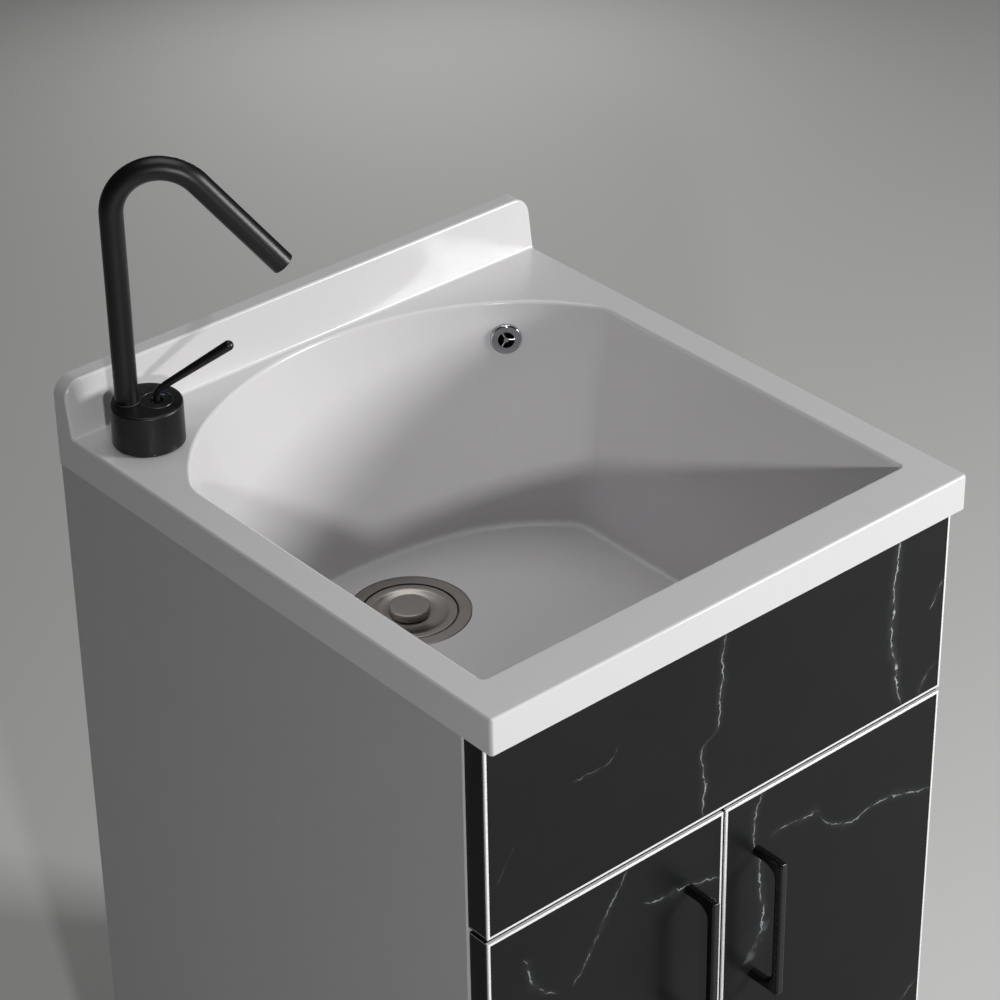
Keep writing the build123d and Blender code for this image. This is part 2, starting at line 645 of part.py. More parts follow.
def make_foot_pads():
    pads = []
    for x, y in foot_places():
        pad = post(x, y, 0, FOOT_PAD_HEIGHT, FOOT_PAD_R)
        shoulder = pad.faces().sort_by(Axis.Z)[-1].edges()
        pad = fillet(shoulder, 7)
        pads.append(pad - post(x, y, FOOT_PAD_HEIGHT - 6, FOOT_PAD_HEIGHT + 1, FOOT_STUD_R))
    return Compound(children=pads)


# ---------------------------------------------------------------- tap

TAP_FRAME = Pos(TAP_X, TAP_Y, DECK_Z) * Rot(0, 0, TAP_TURN)


def make_tap_body():
    body = post(0, 0, TAP_GASKET, TAP_BODY_HEIGHT, TAP_BODY_R)
    body = fillet(body.faces().sort_by(Axis.Z)[-1].edges(), 2.2)
    body -= post(CAP_OFFSET, 0, CARTRIDGE_FLOOR, TAP_BODY_HEIGHT + 1, CARTRIDGE_R + 0.05)
    body -= post(CAP_OFFSET, 0, TAP_BODY_HEIGHT - CAP_THICKNESS, TAP_BODY_HEIGHT + 1, CAP_R + 0.1)
    body -= post(SPOUT_OFFSET, 0, TAP_BODY_HEIGHT - SPOUT_SOCKET_DEPTH, TAP_BODY_HEIGHT + 1, SPOUT_SOCKET_R)
    body -= post(0, 0, 0, CARTRIDGE_FLOOR - 1.5, SHANK_R + 0.05)
    return TAP_FRAME * body


def make_tap_cap():
    cap = tube(CAP_OFFSET, 0, TAP_BODY_HEIGHT - CAP_THICKNESS, TAP_BODY_HEIGHT, CAP_R, CAP_HOLE_R)
    return TAP_FRAME * fillet(cap.faces().sort_by(Axis.Z)[-1].edges(), 0.4)


def make_tap_cartridge():
    top = TAP_BODY_HEIGHT - CAP_THICKNESS
    case = post(CAP_OFFSET, 0, CARTRIDGE_FLOOR, top, CARTRIDGE_R)
    return TAP_FRAME * (case - post(CAP_OFFSET, 0, TURRET_FLOOR, top + 1, TURRET_BORE_R))


def make_tap_gasket():
    return TAP_FRAME * tube(0, 0, 0, TAP_GASKET, TAP_BODY_R - 1.5, TAP_HOLE_R)


def make_tap_shank():
    shank = post(0, 0, -SHANK_LENGTH, CARTRIDGE_FLOOR - 1.5, SHANK_R)
    for y in (-INLET_SPACING / 2, INLET_SPACING / 2):
        shank -= post(0, y, -SHANK_LENGTH - 1, -SHANK_LENGTH + INLET_DEPTH, INLET_R)
    return TAP_FRAME * shank


def make_tap_washer():
    """A horseshoe washer under the deck."""
    low = -DECK_THICKNESS - TAP_WASHER_THICKNESS
    ring = tube(0, 0, low, -DECK_THICKNESS, TAP_WASHER_R, SHANK_R + 0.3)
    return TAP_FRAME * (ring - block(-8, 8, 10, 30, low - 1, -DECK_THICKNESS + 1))


def make_tap_nut():
    high = -DECK_THICKNESS - TAP_WASHER_THICKNESS
    return TAP_FRAME * hex_ring(0, 0, high - TAP_NUT_HEIGHT, high, TAP_NUT_FLATS, SHANK_R)


def tail_places():
    """Where each supply tail starts under the tap's shank, and the height it turns to the wall at."""
    turn = radians(TAP_TURN)
    places = []
    for side, z in ((-1, HOT_TAIL_Z), (1, COLD_TAIL_Z)):
        reach = side * INLET_SPACING / 2
        places.append((TAP_X - reach * sin(turn), TAP_Y + reach * cos(turn), z))
    return places


def make_supply_tails():
    """Two rigid copper tails screwed into the shank, running down and bending to the wall."""
    shank_end = DECK_Z - SHANK_LENGTH
    tails = []
    for x, y, z in tail_places():
        path = FilletPolyline((x, y, shank_end), (x, y, z), (x, TAIL_END_Y, z), radius=TAIL_BEND_R)
        start = Plane(origin=(x, y, shank_end), z_dir=(0, 0, -1))
        tail = sweep(start * Circle(TAIL_R), path)
        tail += post(x, y, shank_end - 1, shank_end + INLET_DEPTH - 1, INLET_R - 0.05)
        tail += hex_ring(x, y, shank_end - 8, shank_end, 11, TAIL_BORE_R)
        tail += bar_along_y(x, z, TAIL_END_Y - TAIL_FLANGE, TAIL_END_Y, TAIL_NUT_BORE_R - 0.7)
        tail -= post(x, y, shank_end - 1, shank_end + INLET_DEPTH, TAIL_BORE_R)
        tails.append(tail - sweep(start * Circle(TAIL_BORE_R), path))
    return Compound(children=tails)


def make_tail_nuts():
    """A loose nut held on the wall end of each tail by the tail's small flange."""
    nuts = []
    back_wall = TAIL_END_Y - 4
    flange_y = TAIL_END_Y - TAIL_FLANGE
    thread_y = TAIL_END_Y + 0.5
    for x, _, z in tail_places():
        start = Plane(origin=(x, back_wall, z), x_dir=(1, 0, 0), z_dir=(0, 1, 0))
        length = thread_y + TAIL_NUT_DEPTH - back_wall
        nut = start * extrude(RegularPolygon(TAIL_NUT_FLATS / 2, 6, major_radius=False), length)
        nut -= bar_along_y(x, z, back_wall - 1, flange_y + 1, TAIL_R + 0.05)
        nut -= bar_along_y(x, z, flange_y, thread_y, TAIL_NUT_BORE_R - 0.65)
        nuts.append(nut - bar_along_y(x, z, thread_y, thread_y + TAIL_NUT_DEPTH + 1, TAIL_NUT_BORE_R))
    return Compound(children=nuts)


def make_spout_bush():
    low = TAP_BODY_HEIGHT - SPOUT_SOCKET_DEPTH
    return TAP_FRAME * tube(SPOUT_OFFSET, 0, low, TAP_BODY_HEIGHT - 1.5, SPOUT_SOCKET_R, SPOUT_R + SPOUT_FIT)


def spout_path():
    """The spout's centre line: straight up, round the bend, then down towards the bowl."""
    foot_z = TAP_BODY_HEIGHT - SPOUT_SOCKET_DEPTH + 1
    bend_x = SPOUT_OFFSET + SPOUT_BEND_R
    drop = radians(SPOUT_DROP_ANGLE)
    end_angle = pi / 2 - drop
    mid_angle = (pi + end_angle) / 2

    def bend_point(angle):
        return (bend_x + SPOUT_BEND_R * cos(angle), 0, SPOUT_STRAIGHT_TOP + SPOUT_BEND_R * sin(angle))

    bend_end = bend_point(end_angle)
    outlet = (bend_end[0] + SPOUT_LEG * cos(drop), 0, bend_end[2] - SPOUT_LEG * sin(drop))
    rise = Line((SPOUT_OFFSET, 0, foot_z), (SPOUT_OFFSET, 0, SPOUT_STRAIGHT_TOP))
    bend = ThreePointArc((SPOUT_OFFSET, 0, SPOUT_STRAIGHT_TOP), bend_point(mid_angle), bend_end)
    leg = Line(bend_end, outlet)
    return Wire([rise, bend, leg]), outlet, (cos(drop), 0, -sin(drop))


def make_spout():
    """A bent tube with an eased mouth."""
    path, _, _ = spout_path()
    start = Plane(origin=(SPOUT_OFFSET, 0, path.position_at(0).Z), z_dir=(0, 0, 1))
    outside = sweep(start * Circle(SPOUT_R), path)
    inside = sweep(start * Circle(SPOUT_BORE_R), path)
    mouth = outside.edges().filter_by(GeomType.CIRCLE).sort_by(Axis.X)[-1]
    return TAP_FRAME * (fillet(mouth, 0.8) - inside)


def make_spout_aerator():
    """A ring crossed by three thin bars, just inside the spout's mouth."""
    _, outlet, aim = spout_path()
    seat = Plane(origin=outlet, z_dir=aim)
    middle = Pos(0, 0, -AERATOR_LENGTH / 2 - 1)
    insert = middle * Cylinder(SPOUT_BORE_R - 0.05, AERATOR_LENGTH)
    insert -= middle * Cylinder(SPOUT_BORE_R - 2, AERATOR_LENGTH + 2)
    for turn in (0, 60, 120):
        insert += middle * Rot(0, 0, turn) * Box(2 * SPOUT_BORE_R - 2, 1.2, 2)
    return TAP_FRAME * (seat * insert)


def make_tap_turret():
    """The small cup that turns in the cartridge and holds the lever's ball."""
    ball_z = TAP_BODY_HEIGHT - LEVER_PIVOT_DEPTH
    cup = post(CAP_OFFSET, 0, TURRET_FLOOR + 0.3, ball_z, TURRET_R)
    return TAP_FRAME * (cup - Pos(CAP_OFFSET, 0, ball_z) * Sphere(LEVER_BALL_R + 0.06))


def make_tap_lever():
    """A ball, a bent rod and a slim handle that swells towards its rounded tip."""
    ball_z = TAP_BODY_HEIGHT - LEVER_PIVOT_DEPTH
    rise = radians(LEVER_RISE_ANGLE)
    aim = (cos(rise), 0, sin(rise))
    corner = (CAP_OFFSET, 0, LEVER_CORNER_HEIGHT)
    rod_end = (CAP_OFFSET + LEVER_ROD_RUN * aim[0], 0, LEVER_CORNER_HEIGHT + LEVER_ROD_RUN * aim[2])
    path = FilletPolyline((CAP_OFFSET, 0, ball_z), corner, rod_end, radius=LEVER_BEND_R)
    rod = sweep(Plane(origin=(CAP_OFFSET, 0, ball_z), z_dir=(0, 0, 1)) * Circle(LEVER_ROD_R), path)
    handle_end = (LEVER_HANDLE_TIP_R, 0, LEVER_HANDLE_LENGTH)
    round_tip = LEVER_HANDLE_TIP_R * sin(pi / 4)
    summit = (0, 0, LEVER_HANDLE_LENGTH + LEVER_HANDLE_TIP_R)
    profile = Wire([
        Line((0, 0, 0), (LEVER_HANDLE_ROOT_R, 0, 0)),
        Line((LEVER_HANDLE_ROOT_R, 0, 0), handle_end),
        ThreePointArc(handle_end, (round_tip, 0, LEVER_HANDLE_LENGTH + round_tip), summit),
        Line(summit, (0, 0, 0)),
    ])
    handle = Plane(origin=rod_end, z_dir=aim) * revolve(Face(profile), Axis.Z)
    ball = Pos(CAP_OFFSET, 0, ball_z) * Sphere(LEVER_BALL_R)
    return TAP_FRAME * (rod + handle + ball)


# ---------------------------------------------------------------- waste

DRAIN = Pos(DRAIN_X, DRAIN_Y, 0)
CUP_BOTTOM_Z = FLOOR_Z - STRAINER_DEPTH
SPIGOT_BOTTOM_Z = CUP_BOTTOM_Z - OUTLET_LENGTH
LEDGE_Z = FLOOR_Z - STRAINER_LEDGE_DROP
FLOOR_UNDERSIDE_Z = FLOOR_Z - BOWL_WALL
PORT_Z = FLOOR_Z - OVERFLOW_PORT_DROP
SEAL_TOP_Z = CUP_BOTTOM_Z + 2.3 + SEAL_THICKNESS + PLUG_TRAVEL


def overflow_pipe_place():
    """Where the overflow pipe drops: just outside the bowl wall, behind the overflow ring."""
    frame = overflow_frame()
    behind = frame.origin + frame.z_dir * (BOWL_WALL + OVERFLOW_PIPE_BEHIND)
    return behind.X, behind.Y


def port_aim():
    """The level direction from the drain to the overflow pipe."""
    x, y = overflow_pipe_place()
    reach = hypot(x - DRAIN_X, y - DRAIN_Y)
    return (x - DRAIN_X) / reach, (y - DRAIN_Y) / reach


def make_strainer():
    """A flanged cup with a ledge for the basket, a side port and a threaded spigot below."""
    port = Plane(origin=(0, 0, PORT_Z), x_dir=(0, 0, 1), z_dir=(*port_aim(), 0))
    flange = post(0, 0, FLOOR_Z - FLANGE_THICKNESS, FLOOR_Z, FLANGE_R)
    flange = fillet(flange.faces().sort_by(Axis.Z)[-1].edges(), 1.0)
    body = flange + post(0, 0, CUP_BOTTOM_Z, FLOOR_Z - 1, STRAINER_CUP_R)
    body += post(0, 0, SPIGOT_BOTTOM_Z, CUP_BOTTOM_Z + 1, OUTLET_R)
    body += port * Pos(0, 0, STRAINER_LEDGE_R + 10) * Cylinder(OVERFLOW_PIPE_BORE_R - 0.1, 18)
    body -= post(0, 0, LEDGE_Z, FLOOR_Z + 1, STRAINER_BORE_R)
    body -= post(0, 0, CUP_BOTTOM_Z + 2, FLOOR_Z, STRAINER_LEDGE_R)
    body -= post(0, 0, SPIGOT_BOTTOM_Z - 1, FLOOR_Z, OUTLET_BORE_R)
    body -= port * Pos(0, 0, STRAINER_LEDGE_R + 10) * Cylinder(OVERFLOW_PIPE_BORE_R - 2.2, 24)
    return DRAIN * body


def make_strainer_gasket():
    low = FLOOR_UNDERSIDE_Z - STRAINER_GASKET
    return DRAIN * tube(0, 0, low, FLOOR_UNDERSIDE_Z, NUT_R + 2, STRAINER_CUP_R + 0.1)


def make_strainer_nut():
    """A ring nut with grip lugs round it."""
    top = FLOOR_UNDERSIDE_Z - STRAINER_GASKET
    nut = tube(0, 0, top - NUT_HEIGHT, top, NUT_R, STRAINER_CUP_R)
    for turn in range(0, 360, 45):
        nut += Rot(0, 0, turn) * block(NUT_R - 2, NUT_R + 4, -5, 5, top - NUT_HEIGHT, top)
    return DRAIN * nut


def make_basket():
    """A pressed cup with a rolled rim, two rows of slots and a pierced floor."""
    floor_z = LEDGE_Z - BASKET_DEPTH
    rim = tube(0, 0, LEDGE_Z + 0.3, LEDGE_Z + 1.5, 42.6, 38.4)
    wall = tube(0, 0, floor_z, LEDGE_Z + 1.5, 39.4, 38.4)
    cup = rim + wall + post(0, 0, floor_z, floor_z + 1, 39.4)
    slot = block(36, 42, -2, 2, floor_z + 5, floor_z + 16)
    upper_slot = block(36, 42, -2, 2, floor_z + 19, floor_z + 30)
    for turn in range(0, 360, 24):
        cup -= Rot(0, 0, turn) * slot
        cup -= Rot(0, 0, turn + 12) * upper_slot
    for ring_r, count in ((12, 8), (20, 14), (29, 20)):
        for step in range(count):
            angle = 2 * pi * step / count
            cup -= post(ring_r * cos(angle), ring_r * sin(angle), floor_z - 1, floor_z + 2, 2.2)
    return DRAIN * (cup - post(0, 0, floor_z - 1, floor_z + 2, PLUG_STEM_R + 0.05))


def make_plug_post():
    """The centre post that raises and lowers the seal, with a grip collar inside the basket."""
    seal_bottom = SEAL_TOP_Z - SEAL_THICKNESS
    collar_top = LEDGE_Z - 12
    stem = post(0, 0, seal_bottom - 1, collar_top, PLUG_STEM_R)
    collar = post(0, 0, collar_top - PLUG_COLLAR_HEIGHT, collar_top, PLUG_COLLAR_R)
    collar = fillet(collar.edges().filter_by(GeomType.CIRCLE), 1.2)
    button = post(0, 0, seal_bottom - 2, seal_bottom, 2 * PLUG_STEM_R)
    return DRAIN * (stem + collar + button)


def make_plug_seal():
    seal = tube(0, 0, SEAL_TOP_Z - SEAL_THICKNESS, SEAL_TOP_Z, SEAL_R, PLUG_STEM_R)
    lower_edge = seal.faces().sort_by(Axis.Z)[0].edges().sort_by(SortBy.RADIUS)[-1]
    return DRAIN * chamfer(lower_edge, 2)


def make_cover_plate():
    """A dished disc with a rolled rim, standing on a notched skirt inside the basket's rim."""
    low = -COVER_DISH_DEPTH
    mid_r = (COVER_CENTRE_R + COVER_DISH_R) / 2
    lip_r = COVER_DISH_R + 2
    dish = Wire([
        Line((0, 0, low), (COVER_CENTRE_R, 0, low)),
        ThreePointArc((COVER_CENTRE_R, 0, low), (mid_r, 0, low - 1.4), (COVER_DISH_R, 0, low + 1.6)),
        Line((COVER_DISH_R, 0, low + 1.6), (lip_r, 0, 0)),
        Line((lip_r, 0, 0), (COVER_R - 1, 0, 0)),
        ThreePointArc((COVER_R - 1, 0, 0), (COVER_R - 0.3, 0, -0.3), (COVER_R, 0, -1)),
        Line((COVER_R, 0, -1), (COVER_R, 0, -COVER_SHEET)),
        Line((COVER_R, 0, -COVER_SHEET), (lip_r, 0, -COVER_SHEET)),
        Line((lip_r, 0, -COVER_SHEET), (COVER_DISH_R, 0, low + 1.6 - COVER_SHEET)),
        ThreePointArc(
            (COVER_DISH_R, 0, low + 1.6 - COVER_SHEET),
            (mid_r, 0, low - 1.4 - COVER_SHEET),
            (COVER_CENTRE_R, 0, low - COVER_SHEET),
        ),
        Line((COVER_CENTRE_R, 0, low - COVER_SHEET), (0, 0, low - COVER_SHEET)),
        Line((0, 0, low - COVER_SHEET), (0, 0, low)),
    ])
    plate = revolve(Face(dish), Axis.Z)
    skirt = tube(0, 0, -STRAINER_LEDGE_DROP + 1.8, -1.2, COVER_R - 0.8, COVER_R - 2)
    for turn in range(0, 180, 45):
        skirt -= Rot(0, 0, turn) * block(-50, 50, -9, 9, -STRAINER_LEDGE_DROP, -2.6)
    return DRAIN * Pos(0, 0, FLOOR_Z) * (plate + skirt)


def make_cover_knob():
    """A low round button on a narrower neck."""
    knob = post(0, 0, -0.4, COVER_KNOB_HEIGHT, COVER_KNOB_R)
    knob = fillet(knob.faces().sort_by(Axis.Z)[-1].edges(), 1.6)
    neck = post(0, 0, -COVER_DISH_DEPTH, -0.4, COVER_KNOB_R - 2.5)
    return DRAIN * Pos(0, 0, FLOOR_Z) * (knob + neck)


def make_tailpiece_nut():
    nut = hex_ring(0, 0, SPIGOT_BOTTOM_Z - 12, SPIGOT_BOTTOM_Z + 18, 57, OUTLET_R)
    return DRAIN * (nut + tube(0, 0, SPIGOT_BOTTOM_Z - 12, SPIGOT_BOTTOM_Z - 6, 26, PIPE_R + 0.2))


def make_tailpiece():
    collar = tube(0, 0, SPIGOT_BOTTOM_Z - 6, SPIGOT_BOTTOM_Z, OUTLET_R - 0.2, PIPE_BORE_R)
    return DRAIN * (collar + tube(0, 0, TRAP_TOP_Z - 25, SPIGOT_BOTTOM_Z - 3, PIPE_R, PIPE_BORE_R))


def make_trap_head():
    """The trap's fixed upper part, with a side socket for the waste arm."""
    low = TRAP_TOP_Z - TRAP_HEAD_HEIGHT
    head = post(0, 0, low, TRAP_TOP_Z, TRAP_HEAD_R)
    head += bar_along_y(0, ARM_Z, 0, ARM_SOCKET_REACH, ARM_SOCKET_R)
    head -= post(0, 0, low - 1, TRAP_TOP_Z - 5, TRAP_HEAD_R - TRAP_WALL)
    head -= post(0, 0, low - 1, TRAP_TOP_Z + 1, PIPE_R + 0.2)
    return DRAIN * (head - bar_along_y(0, ARM_Z, 0, ARM_SOCKET_REACH + 1, PIPE_R + 0.2))


def make_trap_nut():
    return DRAIN * hex_ring(0, 0, TRAP_TOP_Z, TRAP_TOP_Z + 14, 54, PIPE_R + 0.2)


def make_trap_cup():
    """The bottle that unscrews from below, with a ribbed grip."""
    top = TRAP_TOP_Z - TRAP_HEAD_HEIGHT + TRAP_CUP_OVERLAP
    bottom = top - TRAP_CUP_HEIGHT
    outer_r = TRAP_HEAD_R + 0.1 + TRAP_WALL
    cup = post(0, 0, bottom, top, outer_r)
    cup = fillet(cup.faces().sort_by(Axis.Z)[0].edges(), 6)
    cup -= post(0, 0, bottom + TRAP_WALL, top + 1, TRAP_HEAD_R + 0.1)
    for turn in range(0, 360, 20):
        cup += Rot(0, 0, turn) * Pos(outer_r, 0, top - 9) * Cylinder(1.2, 16)
    return DRAIN * cup


def make_waste_arm():
    """The pipe from the trap to the wall, slimmer where it enters the trap's socket."""
    inner_end = DRAIN_Y + 36
    step = BACK_Y - 60
    arm = bar_along_y(DRAIN_X, ARM_Z, inner_end, step + 1, PIPE_R - 0.3)
    arm += bar_along_y(DRAIN_X, ARM_Z, step, BACK_Y, PIPE_R)
    return arm - bar_along_y(DRAIN_X, ARM_Z, inner_end - 1, BACK_Y + 1, PIPE_BORE_R)


def make_waste_arm_nut():
    y = DRAIN_Y + ARM_SOCKET_REACH
    prism = extrude(RegularPolygon(27, 6, major_radius=False), 14)
    turned = Plane(origin=(DRAIN_X, y, ARM_Z), x_dir=(1, 0, 0), z_dir=(0, 1, 0)) * prism
    return turned - bar_along_y(DRAIN_X, ARM_Z, y - 1, y + 15, PIPE_R - 0.2)


# ---------------------------------------------------------------- overflow

def make_overflow_ring():
    """A flanged ring with a hub on three spokes, on a short threaded barrel."""
    flange = Pos(0, 0, -1.2) * Cylinder(OVERFLOW_RING_R, 4.4)
    face_edge = flange.faces().sort_by(Axis.Z)[0].edges()
    ring = fillet(face_edge, 1.9)
    ring += Pos(0, 0, 6) * Cylinder(OVERFLOW_HOLE_R - 0.2, 14)
    ring -= Pos(0, 0, 5) * Cylinder(7.4, 40)
    for turn in (60, 180, 300):
        ring += Rot(0, 0, turn) * Pos(4.2, 0, -1.4) * Rot(0, 90, 0) * Cylinder(1.0, 7.4)
    ring += Pos(0, 0, -1.6) * Cylinder(2.2, 3)
    return overflow_frame() * ring


def make_overflow_elbow():
    """The elbow behind the bowl wall: a socket round the ring's barrel, and a spigot that points down."""
    frame = overflow_frame()
    depth = BOWL_WALL + OVERFLOW_PIPE_BEHIND
    socket = frame * Pos(0, 0, BOWL_WALL + 2 + 14) * Cylinder(13.5, 26)
    x, y = overflow_pipe_place()
    z = frame.origin.Z
    drop = post(x, y, z - 34, z, OVERFLOW_PIPE_BORE_R - 0.1)
    collar = post(x, y, z - OVERFLOW_PIPE_TOP_DROP, z, OVERFLOW_PIPE_R + 1)
    elbow = socket + drop + collar
    elbow -= frame * Pos(0, 0, (BOWL_WALL + depth) / 2) * Cylinder(OVERFLOW_HOLE_R, depth - BOWL_WALL + 4)
    return elbow - post(x, y, z - 35, z, OVERFLOW_PIPE_BORE_R - 2.2)


def make_overflow_pipe():
    """The pipe from the elbow down behind the bowl and across to the strainer's port."""
    x, y = overflow_pipe_place()
    aim_x, aim_y = port_aim()
    top_z = overflow_frame().origin.Z - OVERFLOW_PIPE_TOP_DROP
    near_end = STRAINER_CUP_R + 1
    end = (DRAIN_X + aim_x * near_end, DRAIN_Y + aim_y * near_end, PORT_Z)
    path = FilletPolyline((x, y, top_z), (x, y, PORT_Z), end, radius=OVERFLOW_BEND_R)
    start = Plane(origin=(x, y, top_z), z_dir=(0, 0, -1))
    outside = sweep(start * Circle(OVERFLOW_PIPE_R), path)
    return outside - sweep(start * Circle(OVERFLOW_PIPE_BORE_R), path)


# ---------------------------------------------------------------- write every node

save(make_basin_top(), "basin_top")
save(make_sealant(), "sealant_bead")
save(make_base_panel(), "base_panel")
save(make_back_panel(), "back_panel")
save(make_rear_rail(), "rear_rail")
save(make_front_rail(), "front_rail")
save(make_front_panel(*FASCIA_SPAN, CARCASS_FRONT_Y), "fascia_panel")
save(make_trim(*FASCIA_SPAN), "fascia_trim")
save(make_fascia_brackets(), "fascia_brackets")
for side_name, side_sign in (("left", -1), ("right", 1)):
    save(make_side_panel(side_sign), "side_panel_" + side_name)
    save(make_door_panel(side_sign), "door_panel_" + side_name)
    save(make_trim(*door_span(side_sign)), "door_trim_" + side_name)
    save(make_handle(side_sign), "handle_" + side_name)
    save(make_handle_screws(side_sign), "handle_screws_" + side_name)
    save(make_door_bumpers(side_sign), "door_bumpers_" + side_name)
    save(make_hinge_cups(side_sign), "hinge_cups_" + side_name)
    save(make_hinge_arms(side_sign), "hinge_arms_" + side_name)
save(make_foot_legs(), "foot_legs")
save(make_foot_studs(), "foot_studs")
save(make_foot_pads(), "foot_pads")
save(make_tap_body(), "tap_body")
save(make_tap_cap(), "tap_cap")
save(make_tap_cartridge(), "tap_cartridge")
save(make_tap_gasket(), "tap_gasket")
save(make_tap_shank(), "tap_shank")
save(make_tap_washer(), "tap_washer")
save(make_tap_nut(), "tap_nut")
save(make_supply_tails(), "supply_tails")
save(make_tail_nuts(), "tail_nuts")
save(make_tap_turret(), "tap_turret")
save(make_tap_lever(), "tap_lever")
save(make_spout_bush(), "spout_bush")
save(make_spout(), "spout")
save(make_spout_aerator(), "spout_aerator")
save(make_strainer(), "strainer_body")
save(make_strainer_gasket(), "strainer_gasket")
save(make_strainer_nut(), "strainer_nut")
save(make_basket(), "strainer_basket")
save(make_plug_post(), "plug_post")
save(make_plug_seal(), "plug_seal")
save(make_cover_plate(), "cover_plate")
save(make_cover_knob(), "cover_knob")
save(make_tailpiece(), "tailpiece")
save(make_tailpiece_nut(), "tailpiece_nut")
save(make_trap_head(), "trap_head")
save(make_trap_nut(), "trap_nut")
save(make_trap_cup(), "trap_cup")
save(make_waste_arm(), "waste_arm")
save(make_waste_arm_nut(), "waste_arm_nut")
save(make_overflow_ring(), "overflow_ring")
save(make_overflow_elbow(), "overflow_elbow")
save(make_overflow_pipe(), "overflow_pipe")
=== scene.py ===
import json
import math

import bmesh
import bpy
from mathutils import Matrix, Vector


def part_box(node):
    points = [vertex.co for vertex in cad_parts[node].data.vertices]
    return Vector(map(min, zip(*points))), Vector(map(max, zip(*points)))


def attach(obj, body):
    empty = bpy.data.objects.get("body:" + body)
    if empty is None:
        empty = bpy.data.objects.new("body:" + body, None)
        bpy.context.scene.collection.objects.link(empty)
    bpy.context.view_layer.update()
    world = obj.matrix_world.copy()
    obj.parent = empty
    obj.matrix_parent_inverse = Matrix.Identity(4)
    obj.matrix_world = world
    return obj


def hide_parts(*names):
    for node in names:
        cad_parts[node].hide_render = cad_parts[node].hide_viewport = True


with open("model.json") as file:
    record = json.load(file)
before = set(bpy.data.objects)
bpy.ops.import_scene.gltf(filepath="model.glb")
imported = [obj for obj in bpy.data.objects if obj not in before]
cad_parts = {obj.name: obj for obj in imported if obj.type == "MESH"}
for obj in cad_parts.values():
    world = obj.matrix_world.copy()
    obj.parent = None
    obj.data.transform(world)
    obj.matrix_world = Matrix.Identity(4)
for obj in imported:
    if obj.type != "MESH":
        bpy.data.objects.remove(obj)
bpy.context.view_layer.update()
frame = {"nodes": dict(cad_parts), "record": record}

cad = frame["nodes"]
record = frame["record"]

# ---------------------------------------------------------------- studio
# A pale floor that runs out of view on every side, two soft lamps from the front, one overhead, a weak one
# behind and a quiet sky. The camera looks down on the front left corner, as a person standing there would.

CAMERA_PLACE = (-1.4885, -1.7395, 2.2307)
CAMERA_AZIMUTH, CAMERA_ELEVATION, CAMERA_ROLL = -40.26, 32.11, -0.99
LENS_MM, SENSOR_MM = 119.85, 36
VIEW_ENDS = 60
TOP_MIDDLE = (0, 0, 0.8)
DOORS_MIDDLE = (0, 0, 0.5)
SKY_COLOUR, SKY_STRENGTH = (0.80, 0.80, 0.82, 1), 0.03
FLOOR_HALF = 14.0
FLOOR_COLOUR, FLOOR_ROUGHNESS = (0.67, 0.67, 0.66, 1), 0.7


def put(name, data):
    """A new object in the scene, at the origin."""
    thing = bpy.data.objects.new(name, data)
    bpy.context.scene.collection.objects.link(thing)
    return thing


def aim(azimuth, elevation, roll):
    """The turn that points a camera along a heading given in degrees."""
    heading = Matrix.Rotation(math.radians(azimuth), 4, "Z")
    tip = Matrix.Rotation(math.radians(90 - elevation), 4, "X")
    return heading @ tip @ Matrix.Rotation(math.radians(roll), 4, "Z")


def lamp(name, toward, distance, size, watts, target):
    """A soft oblong lamp, at a distance from its target in the direction that it shines from."""
    data = bpy.data.lights.new(name, "AREA")
    data.shape = "RECTANGLE"
    data.size, data.size_y = size
    data.energy = watts
    place = Vector(target) + Vector(toward).normalized() * distance
    turn = (Vector(target) - place).to_track_quat("-Z", "Y").to_matrix().to_4x4()
    put(name, data).matrix_world = Matrix.Translation(place) @ turn


def shader_inputs(finish):
    """The sockets of a material's one shader."""
    return finish.node_tree.nodes["Principled BSDF"].inputs


def new_finish(name, plain=None):
    """A material, with its plain values set on the shader's own sockets."""
    finish = bpy.data.materials.new(name)
    finish.use_nodes = True
    for socket_name, value in (plain or {}).items():
        shader_inputs(finish)[socket_name].default_value = value
    return finish


camera_data = bpy.data.cameras.new("camera")
camera_data.lens, camera_data.sensor_width = LENS_MM, SENSOR_MM
camera_data.clip_end = VIEW_ENDS
camera = put("camera", camera_data)
camera.matrix_world = Matrix.Translation(CAMERA_PLACE) @ aim(CAMERA_AZIMUTH, CAMERA_ELEVATION, CAMERA_ROLL)
bpy.context.scene.camera = camera
bpy.context.scene.view_settings.view_transform = "Standard"

lamp("key_from_right", (0.91, -1.0, 0.42), distance=3.5, size=(0.74, 0.94), watts=104, target=TOP_MIDDLE)
lamp("fill_from_left", (-0.6, -1.0, 0.41), distance=2.8, size=(0.12, 0.12), watts=23, target=TOP_MIDDLE)
lamp("overhead", (0.1, 0.1, 1.0), distance=2.4, size=(1.8, 1.8), watts=17, target=TOP_MIDDLE)
lamp("low_behind", (0.75, 1.0, 0.1), distance=3.0, size=(0.7, 0.7), watts=5, target=DOORS_MIDDLE)

sky = bpy.data.worlds.new("sky")
sky.use_nodes = True
sky_inputs = sky.node_tree.nodes["Background"].inputs
sky_inputs["Color"].default_value = SKY_COLOUR
sky_inputs["Strength"].default_value = SKY_STRENGTH
bpy.context.scene.world = sky

